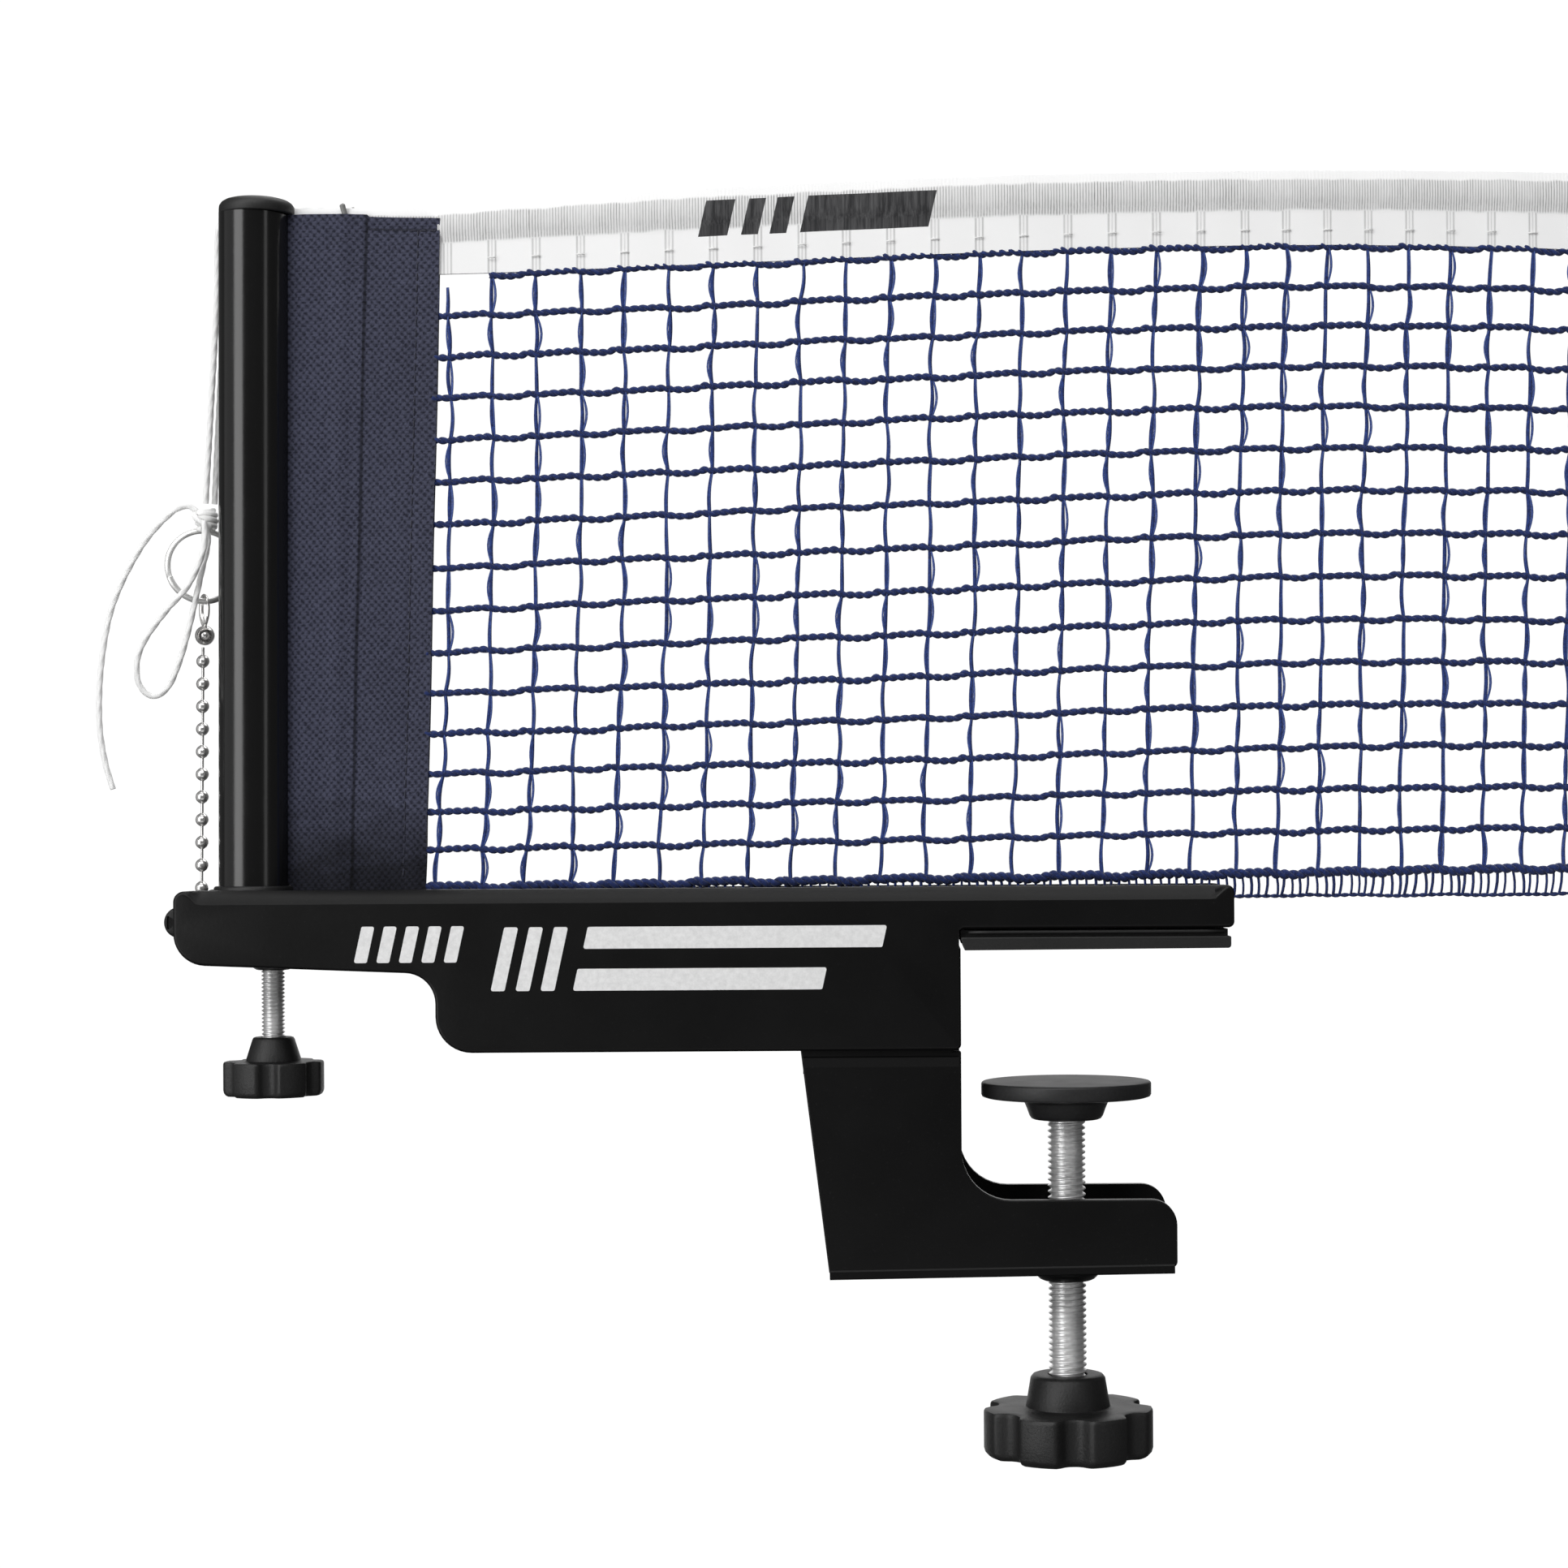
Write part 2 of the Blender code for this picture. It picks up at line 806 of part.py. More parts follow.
def make_sleeve():
    """Fabric end of the net: it goes into the post's slot, and the top steps down at its seam."""
    slot = material("sleeve_fabric", (0.045, 0.050, 0.095), 0.85)
    seam = edge_x(-0.1223)
    outline = [
        (POST_X + 0.0030, SLEEVE_BOTTOM_Z),
        (SLEEVE_EDGE_X - SLEEVE_SLANT, SLEEVE_BOTTOM_Z),
        (SLEEVE_EDGE_X, 0.1503),
        (seam, 0.1505),
        (seam - 0.0004, 0.1514),
        (POST_X + 0.0085, 0.1512),
        (POST_X + 0.0080, 0.1505),
        (POST_X + 0.0030, 0.1505),
    ]
    sleeve = prism("net_sleeve", outline, -0.0008, 0.0008, slot)
    welt = box(
        "sleeve_welt",
        (BATTEN_X - 0.002, -0.0013, SLEEVE_BOTTOM_Z + 0.0004),
        (BATTEN_X + 0.002, 0.0013, 0.1508),
        slot,
    )
    channel = turned(
        "sleeve_channel",
        [(0.156, 0), (0.156, 0.0009), (0.010, 0.0009), (0.010, 0)],
        slot,
        x=BATTEN_X,
        count=12,
    )
    join(sleeve, welt)
    return cut(sleeve, channel)


def make_batten():
    """Thin stiffening rod in the sleeve's channel, whose tip stands out at the top."""
    slot = material("batten_grey", (0.35, 0.35, 0.36), 0.5)
    return turned(
        "net_batten",
        [(0.1536, 0), (0.1536, 0.0004), (0.1534, 0.0006), (0.0150, 0.0006), (0.0150, 0)],
        slot,
        x=BATTEN_X,
        count=12,
    )


def make_edge_rod():
    """Rod inside the post that holds the fabric's edge."""
    slot = black_plastic("edge_rod_plastic")
    rod_radius = 0.0024
    return turned(
        "edge_rod",
        [(0.1504, 0), (0.1504, rod_radius), (0.0140, rod_radius), (0.0140, 0)],
        slot,
        x=POST_X,
        count=20,
    )


def make_tape():
    """White tape along the top edge; behind the sleeve only its top strip shows."""
    slot = material("tape_white", (0.80, 0.80, 0.80), 0.8)
    start = edge_x(-0.1255)
    low_start = SLEEVE_EDGE_X + GAP
    steps = 10
    top = []
    bottom = []
    for index in range(steps + 1):
        x = low_start + (NET_END_X - low_start) * index / steps
        top.append((x, tape_top(x)))
        bottom.append((x, tape_top(x) - TAPE_HEIGHT))
    outline = [(start, NET_TOP_Z), (start, 0.1517), (low_start, 0.1517)]
    outline += bottom + list(reversed(top))
    return prism("net_tape", outline, -NET_THICKNESS / 2, NET_THICKNESS / 2, slot)


def make_net():
    """Knotted mesh below the tape, as one thin sheet down into the rail's slot."""
    slot = material("net_blue", (0.020, 0.035, 0.130), 0.8)
    start = SLEEVE_EDGE_X + GAP
    steps = 10
    top = []
    for index in range(steps + 1):
        x = start + (NET_END_X - start) * index / steps
        top.append((x, tape_top(x) - TAPE_HEIGHT - GAP))
    foot = start - SLEEVE_SLANT
    outline = [(foot, SLEEVE_BOTTOM_Z), (foot, NET_BOTTOM_Z), (NET_END_X, NET_BOTTOM_Z)]
    outline += list(reversed(top))
    return prism("net_mesh", outline, -0.0006, 0.0006, slot)


# ---------------------------------------------------------------- cord, ring and chain


def around_post(reach, start_angle, end_angle, start_z, end_z, steps):
    """Part of a helix round the post, as the taut cord lies on the back of the cap."""
    points = []
    for index in range(steps + 1):
        share = index / steps
        angle = math.radians(start_angle + (end_angle - start_angle) * share)
        points.append(
            (
                POST_X + reach * math.cos(angle),
                reach * math.sin(angle),
                start_z + (end_z - start_z) * share**2,
            )
        )
    return points


def make_cords():
    """Tensioning cord: two taut strands over the post, the knot at the ring, a bight and a tail."""
    white = material("cord_white", (0.82, 0.82, 0.80), 0.8)
    cord(
        "cord_strand_outer",
        [
            (edge_x(-0.1243), 0.0017, 0.1530),
            (edge_x(-0.1310), 0.0034, 0.1534),
            *around_post(0.0087, 62, 160, 0.1540, 0.1492, 5),
            (edge_x(-0.1539), 0.0040, 0.1350),
            (edge_x(-0.1551), 0.0052, 0.1130),
            (edge_x(-0.1563), 0.0062, 0.0929),
        ],
        white,
    )
    cord(
        "cord_strand_inner",
        [
            (edge_x(-0.1243), 0.0020, 0.1514),
            (edge_x(-0.1310), 0.0038, 0.1517),
            *around_post(0.0087, 62, 150, 0.1522, 0.1470, 5),
            (edge_x(-0.1528), 0.0056, 0.1330),
            (edge_x(-0.1538), 0.0068, 0.1130),
            (edge_x(-0.1548), 0.0077, 0.0929),
        ],
        white,
    )
    turned(
        "cord_knot",
        [
            (0.0925, 0),
            (0.0923, 0.0010),
            (0.0914, 0.0016),
            (0.0902, 0.0018),
            (0.0890, 0.0016),
            (0.0883, 0.0009),
            (0.0882, 0),
        ],
        white,
        x=edge_x(-0.1559),
        y=0.0066,
        count=16,
    )
    cord(
        "cord_bight",
        [
            (edge_x(-0.1559), 0.0048, 0.0884),
            (edge_x(-0.1554), 0.0042, 0.0845),
            (edge_x(-0.1565), 0.0036, 0.0789),
            (edge_x(-0.1579), 0.0034, 0.0725),
            (edge_x(-0.1594), 0.0033, 0.0661),
            (edge_x(-0.1614), 0.0034, 0.0595),
            (edge_x(-0.1638), 0.0036, 0.0545),
            (edge_x(-0.1669), 0.0034, 0.0527),
            (edge_x(-0.1695), 0.0028, 0.0552),
            (edge_x(-0.1697), 0.0022, 0.0600),
            (edge_x(-0.1678), 0.0018, 0.0646),
            (edge_x(-0.1635), 0.0016, 0.0703),
            (edge_x(-0.1588), 0.0016, 0.0757),
            (edge_x(-0.1558), 0.0018, 0.0828),
            (edge_x(-0.1559), 0.0034, 0.0889),
        ],
        white,
    )
    cord(
        "cord_tail",
        [
            (edge_x(-0.1582), 0.0066, 0.0914),
            (edge_x(-0.1600), 0.0064, 0.0924),
            (edge_x(-0.1622), 0.0060, 0.0918),
            (edge_x(-0.1645), 0.0056, 0.0899),
            (edge_x(-0.1674), 0.0052, 0.0867),
            (edge_x(-0.1702), 0.0049, 0.0826),
            (edge_x(-0.1734), 0.0046, 0.0765),
            (edge_x(-0.1758), 0.0043, 0.0700),
            (edge_x(-0.1773), 0.0040, 0.0620),
            (edge_x(-0.1780), 0.0038, 0.0540),
            (edge_x(-0.1779), 0.0036, 0.0460),
            (edge_x(-0.1768), 0.0035, 0.0390),
            (edge_x(-0.1752), 0.0034, 0.0335),
        ],
        white,
    )


def make_split_ring():
    slot = zinc_steel("ring_nickel")
    return torus(
        "split_ring", (edge_x(-0.1571), RING_Y, 0.0800), 0.00745, 0.0005, slot, (math.pi / 2, 0, 0), (32, 8)
    )


def chain_y(z):
    """The chain leans from the anchor's keyhole back to the ring."""
    return RING_Y - 0.0034 * (CHAIN_TOP_Z + 0.012 - z) / (CHAIN_TOP_Z + 0.008)


def lean_chain(obj):
    """Slides a vertical piece's points along Y to follow the chain's lean."""
    for vert in obj.data.vertices:
        vert.co.y = vert.co.y + chain_y(vert.co.z)
    obj.data.update()
    return obj


def make_connector():
    """Clasp: a cup that holds the first ball, and a loop round the split ring."""
    slot = zinc_steel("connector_nickel")
    cup_z = 0.0655
    cup = turned(
        "chain_connector",
        [
            (cup_z + 0.0033, 0),
            (cup_z + 0.0033, 0.0005),
            (cup_z + 0.0019, 0.0010),
            (cup_z + 0.0012, 0.0018),
            (cup_z, 0.0021),
            (cup_z - 0.0012, 0.0018),
            (cup_z - 0.0020, 0.0010),
            (cup_z - 0.0021, 0),
        ],
        slot,
        x=CHAIN_X,
        y=RING_Y,
        count=20,
    )
    loop = torus(
        "connector_loop",
        (CHAIN_X, RING_Y, cup_z + 0.0056),
        0.0025,
        0.0005,
        slot,
        (0, math.pi / 2, 0),
        (24, 8),
    )
    return join(cup, loop)


def make_chain():
    """Ball chain: hollow steel beads on short links, as one turned string."""
    slot = zinc_steel("chain_nickel")
    link = 0.00045
    bead_steps = 6
    stations = [(CHAIN_TOP_Z + 0.0029, 0), (CHAIN_TOP_Z + 0.0029, link)]
    for ball in range(BALL_COUNT):
        centre = CHAIN_TOP_Z - ball * BALL_PITCH
        for step in range(1, bead_steps):
            angle = math.pi * step / bead_steps
            reach = BALL_RADIUS * math.sin(angle)
            stations.append((centre + BALL_RADIUS * math.cos(angle), reach))
    bottom = CHAIN_TOP_Z - (BALL_COUNT - 1) * BALL_PITCH - BALL_RADIUS
    stations.append((bottom, 0))
    chain = turned("ball_chain", stations, slot, x=CHAIN_X, count=8)
    return lean_chain(chain)


def main():
    clear_scene()
    make_arm()
    make_leg()
    make_table_pad()
    make_chain_anchor()
    make_post_tube()
    make_post_cap()
    make_post_bush()
    make_post_foot()
    make_height_nut()
    make_height_screw()
    make_knobs()
    make_clamp_nut()
    make_clamp_screw()
    make_clamp_disc()
    make_disc_clip()
    make_sleeve()
    make_batten()
    make_edge_rod()
    make_tape()
    make_net()
    make_cords()
    make_split_ring()
    make_connector()
    make_chain()


main()
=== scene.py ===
"""Looks of the table tennis net clamp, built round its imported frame.

Metres, +Z up, in the frame of the CAD: Z = 0 is the table top, X = 0 the clamp screw's axis, and +X
runs along the net. Each piece is made where its CAD node is, rides on that node's body and, where it
is a finer version of the node, replaces it.
"""

import math
import random

import bmesh
import bpy
import numpy as np
from mathutils import Matrix, Vector


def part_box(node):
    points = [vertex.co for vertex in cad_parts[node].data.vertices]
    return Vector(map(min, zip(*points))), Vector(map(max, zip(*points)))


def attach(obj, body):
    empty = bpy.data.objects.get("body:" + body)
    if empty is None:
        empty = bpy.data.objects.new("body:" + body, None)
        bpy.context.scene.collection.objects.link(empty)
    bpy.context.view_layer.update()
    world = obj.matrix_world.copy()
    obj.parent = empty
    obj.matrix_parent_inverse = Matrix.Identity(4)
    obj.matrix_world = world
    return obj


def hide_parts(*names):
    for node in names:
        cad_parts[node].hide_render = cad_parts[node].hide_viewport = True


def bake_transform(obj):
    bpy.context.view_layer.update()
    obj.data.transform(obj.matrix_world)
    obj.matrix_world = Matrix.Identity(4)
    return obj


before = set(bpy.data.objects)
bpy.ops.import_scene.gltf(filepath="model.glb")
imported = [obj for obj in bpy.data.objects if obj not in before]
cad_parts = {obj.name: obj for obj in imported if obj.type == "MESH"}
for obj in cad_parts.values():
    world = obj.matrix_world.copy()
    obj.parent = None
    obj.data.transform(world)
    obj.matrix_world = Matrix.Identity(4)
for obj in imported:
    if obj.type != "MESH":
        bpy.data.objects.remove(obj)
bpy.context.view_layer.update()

# Places and sizes read from the frame
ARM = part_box("arm_shell")
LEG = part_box("leg_channel")
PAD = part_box("table_pad")
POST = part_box("post_tube")
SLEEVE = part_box("net_sleeve")
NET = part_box("net_mesh")
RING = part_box("split_ring")
LIFT_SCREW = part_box("height_screw")
CLAMP_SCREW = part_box("clamp_screw")

# Sizes and places that are used in more than one piece
TABLE_EDGE_X = -0.0218
POST_X = (POST[0].x + POST[1].x) / 2
POST_RADIUS = (POST[1].x - POST[0].x) / 2
LIFT_X = (LIFT_SCREW[0].x + LIFT_SCREW[1].x) / 2
RAIL_BOTTOM_Z = 0.0040
NET_END_X = NET[1].x
SLEEVE_EDGE_X = SLEEVE[1].x
SLEEVE_SLANT = 0.0039
NET_TOP_Z = 0.1529
CELL_WIDTH = 0.00913
ROWS = 16
COLUMNS = 28
CORD_RADIUS = 0.0006
SEAM_TOP_X = TABLE_EDGE_X - 0.1211
SEAM_SLANT = 0.0040
SLEEVE_TOP_Z = 0.1509
SLEEVE_FOOT_Z = 0.0128
HEM_Z = 0.1484
STITCH_INSET = 0.0045
BUSH_TOP_Z = 0.0133
POST_LEAN = 0.0061
NARROW_FROM = 18
NARROWING = 0.00067


def edge_x(offset):
    """World X of a point given from the table edge."""
    return TABLE_EDGE_X + offset


def post_lean(z):
    """How far the taut net pulls the post over at a height, along X."""
    return POST_LEAN * max(0.0, z - BUSH_TOP_Z)


def net_run(x):
    """Share of the way from the sleeve to the cut end of the net."""
    start = edge_x(-0.1055)
    return max(0.0, (x - start) / (NET_END_X - start))


def tape_top(x):
    """Height of the tape's arched top edge."""
    run = net_run(x)
    return NET_TOP_Z + 0.0182 * run - 0.0129 * run**2


def net_top(x):
    """Height of the top row, where the tape ends."""
    run = net_run(x)
    return 0.1387 + 0.0062 * run + 0.0114 * run**2 - 0.0146 * run**3


def upright_x(column):
    """Top of an upright. The cells past NARROW_FROM are a little narrower."""
    return edge_x(-0.1046) + CELL_WIDTH * column - NARROWING * max(0, column - NARROW_FROM)


def column_at(x):
    """The inverse of upright_x."""
    beyond = x - upright_x(NARROW_FROM)
    width = CELL_WIDTH - NARROWING if beyond > 0 else CELL_WIDTH
    return NARROW_FROM + beyond / width


def from_edge(points):
    """World places of points whose X is given from the table edge."""
    return [(edge_x(out), y, z) for out, y, z in points]


def clamped(value):
    """The value kept between 0 and 1."""
    return min(1.0, max(0.0, value))


def eased(share):
    """A share from 0 to 1 that starts and stops gently."""
    return share * share * (3 - 2 * share)


def bell(distance, width):
    """1 in the middle of a band, falling off to 0 either side of it."""
    return math.exp(-((distance / width) ** 2))


# ---------------------------------------------------------------- materials


class Finish:
    """One Principled material, with short calls for the nodes that feed it."""

    def __init__(self, name, colour, roughness, metallic=0.0, specular=0.5, **sockets):
        self.material = bpy.data.materials.new(name)
        self.material.use_nodes = True
        self.tree = self.material.node_tree
        self.shader = self.tree.nodes["Principled BSDF"]
        self.shader.inputs["Base Color"].default_value = (*colour, 1.0)
        self.shader.inputs["Roughness"].default_value = roughness
        self.shader.inputs["Metallic"].default_value = metallic
        self.shader.inputs["Specular IOR Level"].default_value = specular
        for label, value in sockets.items():
            self.shader.inputs[label.replace("_", " ")].default_value = value
        self.place = self.tree.nodes.new("ShaderNodeTexCoord")

    def node(self, kind, settings=(), **inputs):
        made = self.tree.nodes.new("ShaderNode" + kind)
        for label, value in dict(settings).items():
            setattr(made, label, value)
        for label, value in inputs.items():
            socket = made.inputs[int(label[1:])] if label[0] == "i" else made.inputs[label]
            if isinstance(value, bpy.types.NodeSocket):
                self.tree.links.new(value, socket)
            else:
                socket.default_value = value
        return made

    def math(self, operation, first, second=0.0, third=0.0):
        made = self.node("Math", {"operation": operation}, i0=first, i1=second, i2=third)
        return made.outputs[0]

    def noise(self, scale, detail=2.0, rough=0.5, where=None, distortion=0.0):
        made = self.node("TexNoise", Scale=scale, Detail=detail, Roughness=rough, Distortion=distortion)
        self.tree.links.new(where or self.place.outputs["Object"], made.inputs["Vector"])
        return made.outputs["Fac"]

    def stretched(self, factors, source="Object"):
        made = self.node("Mapping", i0=self.place.outputs[source], i3=factors)
        return made.outputs[0]

    def ramp(self, value, low, high, first, second):
        """Value from low to high becomes a colour from first to second."""
        made = self.node("ValToRGB", i0=value)
        made.color_ramp.elements[0].position = low
        made.color_ramp.elements[1].position = high
        made.color_ramp.elements[0].color = (*first, 1.0)
        made.color_ramp.elements[1].color = (*second, 1.0)
        return made.outputs[0]

    def remap(self, value, start, end, low=0.0, high=1.0):
        """Value from start to end becomes a number from low to high, and stops there."""
        return self.node("MapRange", i0=value, i1=start, i2=end, i3=low, i4=high).outputs[0]

    def between(self, value, low, high):
        """Value from 0..1 becomes a number from low to high."""
        return self.remap(value, 0.0, 1.0, low, high)

    def colour(self, socket):
        self.tree.links.new(socket, self.shader.inputs["Base Color"])

    def roughness(self, socket):
        self.tree.links.new(socket, self.shader.inputs["Roughness"])

    def bump(self, height, distance, strength=1.0, under=None):
        made = self.node("Bump", Height=height, Distance=distance, Strength=strength)
        if under is not None:
            self.tree.links.new(under, made.inputs["Normal"])
        self.tree.links.new(made.outputs[0], self.shader.inputs["Normal"])
        return made.outputs[0]


def powder_coat(name, colour=(0.0030, 0.0030, 0.0031), roughness=0.36, grain=1.0, specular=0.22):
    """Black powder coat: a fine orange peel, faint dust specks and uneven gloss."""
    finish = Finish(name, colour, roughness, specular=specular)
    peel = finish.noise(1400.0, 3.0, 0.55)
    broad = finish.noise(60.0, 3.0, 0.6)
    finish.roughness(finish.between(broad, roughness - 0.07, roughness + 0.09))
    specks = finish.noise(2600.0, 1.0, 0.4)
    dust = tuple(channel * 3.2 for channel in colour)
    finish.colour(finish.ramp(specks, 0.70, 0.80, colour, dust))
    finish.bump(peel, 0.00003 * grain, 0.7)
    return finish.material


def moulded_plastic(name, colour=(0.008, 0.008, 0.0082), roughness=0.46, grain=1.0):
    """Black moulding with a spark-eroded grain."""
    finish = Finish(name, colour, roughness, specular=0.45)
    grain_noise = finish.noise(1700.0, 4.0, 0.7)
    broad = finish.noise(150.0, 2.0, 0.5)
    lighter = tuple(channel * 1.7 for channel in colour)
    finish.colour(finish.ramp(grain_noise, 0.35, 0.75, colour, lighter))
    finish.roughness(finish.between(broad, roughness - 0.06, roughness + 0.08))
    finish.bump(grain_noise, 0.00011 * grain, 0.8)
    return finish.material


def plated_steel(name, colour, roughness, patchy=0.08):
    """Bright plating with fine handling marks."""
    finish = Finish(name, colour, roughness, metallic=0.8)
    marks = finish.noise(900.0, 4.0, 0.65)
    finish.roughness(finish.between(marks, roughness - patchy * 0.6, roughness + patchy))
    dull = tuple(channel * 0.78 for channel in colour)
    finish.colour(finish.ramp(finish.noise(260.0, 3.0, 0.6), 0.35, 0.70, dull, colour))
    finish.bump(marks, 0.000012, 0.6)
    return finish.material


def sleeve_cloth(name):
    """Navy oxford cloth: threads cross in pairs, so dark dots stagger; a painted shadow runs down the seam,
    and painted shade lies along the hem's fold and towards the foot.
    """
    finish = Finish(name, (0.045, 0.05, 0.09), 0.85, specular=0.2, Sheen_Weight=0.12)
    split = finish.node("SeparateXYZ", i0=finish.place.outputs["UV"])
    drift = finish.between(finish.noise(330.0, 3.0, 0.6), -2.6, 2.6)
    jitter = finish.between(finish.noise(1300.0, 2.0, 0.6), -2.2, 2.2)
    wobble = finish.math("ADD", drift, jitter)
    pitch = math.tau / 0.00162
    across = finish.math("SINE", finish.math("MULTIPLY_ADD", split.outputs[0], pitch, wobble))
    along = finish.math("SINE", finish.math("MULTIPLY_ADD", split.outputs[1], pitch, jitter))
    weave = finish.math("MULTIPLY_ADD", finish.math("MULTIPLY", across, along), 0.5, 0.5)
    thread = finish.math("SINE", finish.math("MULTIPLY", split.outputs[1], pitch * 3.0))
    hairs = finish.between(finish.noise(3600.0, 3.0, 0.7), -0.34, 0.34)
    fine = finish.math("ADD", finish.math("MULTIPLY_ADD", thread, 0.07, weave), hairs)
    cloth = finish.ramp(fine, 0.02, 0.74, (0.0120, 0.0130, 0.026), (0.064, 0.068, 0.108))
    world = finish.node("SeparateXYZ", i0=finish.place.outputs["Object"])
    # Painted shade: the cloth darkens towards the sleeve's foot, below a wavy edge set by noise folds.
    folds = finish.noise(1.0, 3.0, 0.6, finish.stretched((70.0, 70.0, 190.0)))
    low = finish.math("MULTIPLY_ADD", folds, 0.020, world.outputs[2])
    shade = finish.remap(low, 0.0265, 0.0420, 0.24, 1.0)
    # Painted shadow: a dark line down the seam, where the upper ply steps over the lower one.
    slope = SEAM_SLANT / (SLEEVE_TOP_Z - SLEEVE_FOOT_Z)
    beside = finish.math("MULTIPLY_ADD", world.outputs[2], -slope, world.outputs[0])
    beside = finish.math("SUBTRACT", beside, SEAM_TOP_X - slope * SLEEVE_TOP_Z)
    seam = finish.math("ABSOLUTE", beside)
    seam_shadow = finish.remap(seam, 0.00012, 0.00042, 0.45, 1.0)
    blotch = finish.between(finish.noise(420.0, 4.0, 0.7), 0.72, 1.18)
    # Painted shade: a dark line along the hem's fold, only right of the seam.
    top = finish.math("MULTIPLY_ADD", world.outputs[0], 0.0214, world.outputs[2])
    top = finish.math("ABSOLUTE", finish.math("SUBTRACT", top, HEM_Z + 0.0214 * SEAM_TOP_X))
    hem = finish.remap(top, 0.00010, 0.00036, 0.55, 1.0)
    hem = finish.math("MAXIMUM", hem, finish.math("LESS_THAN", beside, 0.0))
    # The painted shade, the seam's painted shadow and the hem's painted shade, times the blotchy tone, scale
    # the cloth's colour.
    light = finish.math("MULTIPLY", finish.math("MULTIPLY", shade, seam_shadow), blotch)
    light = finish.math("MULTIPLY", light, hem)
    mixed = finish.node("VectorMath", {"operation": "SCALE"}, i0=cloth, i3=light)
    finish.colour(mixed.outputs[0])
    finish.bump(fine, 0.00014, 0.8)
    return finish.material


def tape_cloth(name):
    """White woven tape with a streaked hem and slanted bars printed on it.

    UV x counts the net's columns along it, UV y is the share of its height.
    """
    finish = Finish(name, (0.9, 0.9, 0.9), 0.8, specular=0.15)
    split = finish.node("SeparateXYZ", i0=finish.place.outputs["UV"])
    column, height = split.outputs[0], split.outputs[1]
    streaks = finish.noise(1.0, 3.0, 0.75, finish.stretched((1350.0, 1350.0, 70.0)))
    patches = finish.noise(1.0, 2.0, 0.5, finish.stretched((240.0, 240.0, 120.0)))
    wavy = finish.math("MULTIPLY_ADD", finish.noise(260.0, 2.0, 0.5), 0.07, height)
    hem = finish.remap(wavy, 0.490, 0.527)
    rim = finish.remap(wavy, 0.930, 0.900)
    banded = finish.math("MULTIPLY", hem, rim)
    drift = finish.between(streaks, -1.6, 1.6)
    rib = finish.math("SINE", finish.math("MULTIPLY_ADD", column, math.tau * CELL_WIDTH / 0.00060, drift))
    rib = finish.remap(rib, 0.1, 0.95, 0.0, 0.62)
    rib = finish.math("MULTIPLY", rib, finish.between(patches, 0.2, 1.6))
    ribs = finish.math("ADD", rib, finish.between(streaks, 0.10, 0.34))
    ribs = finish.math("MULTIPLY", ribs, banded)
    away = finish.math("ABSOLUTE", finish.math("SUBTRACT", finish.math("FRACT", column), 0.5))
    away = finish.math("SUBTRACT", 0.5, away)
    outer = finish.math("ABSOLUTE", finish.math("SUBTRACT", away, 0.080))
    outer = finish.remap(outer, 0.034, 0.006, 0.0, 0.66)
    inner = finish.remap(away, 0.030, 0.005, 0.0, 0.45)
    lines = finish.math("MAXIMUM", outer, inner)
    lines = finish.math("MULTIPLY", lines, finish.between(streaks, 0.35, 1.25))
    lines = finish.math("MULTIPLY", lines, finish.math("SUBTRACT", 1.0, hem))
    shade = finish.math("MAXIMUM", ribs, lines)
    white = finish.ramp(shade, 0.0, 1.0, (0.98, 0.98, 0.98), (0.32, 0.32, 0.32))
    slant = finish.math("MULTIPLY_ADD", height, -0.42, column)
    print_mask = 0.0
    for centre, half in ((5.83, 0.33), (6.66, 0.19), (7.30, 0.19), (9.25, 1.45)):
        bar = finish.math("COMPARE", slant, centre, half)
        print_mask = finish.math("ADD", bar, print_mask)
    tall = finish.math("COMPARE", height, 0.60, 0.235)
    print_mask = finish.math("MULTIPLY", print_mask, tall)
    ink = finish.ramp(streaks, 0.4, 0.7, (0.035, 0.035, 0.037), (0.105, 0.105, 0.108))
    printed = finish.node("Mix", {"data_type": "RGBA"}, i0=print_mask, i6=white, i7=ink)
    finish.colour(printed.outputs[2])
    finish.bump(finish.math("SUBTRACT", 1.0, shade), 0.00008, 0.5)
    return finish.material


def twine(name, colour, dark, strand_scale, roughness=0.8, sheen=0.3, **sockets):
    """Spun fibre: streaks that follow the strand, and a soft sheen."""
    finish = Finish(name, colour, roughness, specular=0.25, Sheen_Weight=sheen, **sockets)
    fibres = finish.noise(strand_scale, 4.0, 0.7, distortion=0.6)
    finish.colour(finish.ramp(fibres, 0.32, 0.68, dark, colour))
    finish.bump(fibres, 0.00008, 0.7)
    return finish.material


def plain(name, colour, roughness, specular=0.5, noise_scale=1200.0):
    """Smooth finish with a faint grain."""
    finish = Finish(name, colour, roughness, specular=specular)
    grain = finish.noise(noise_scale, 3.0, 0.6)
    finish.colour(finish.ramp(grain, 0.3, 0.7, tuple(0.85 * channel for channel in colour), colour))
    finish.bump(grain, 0.00002, 0.5)
    return finish.material


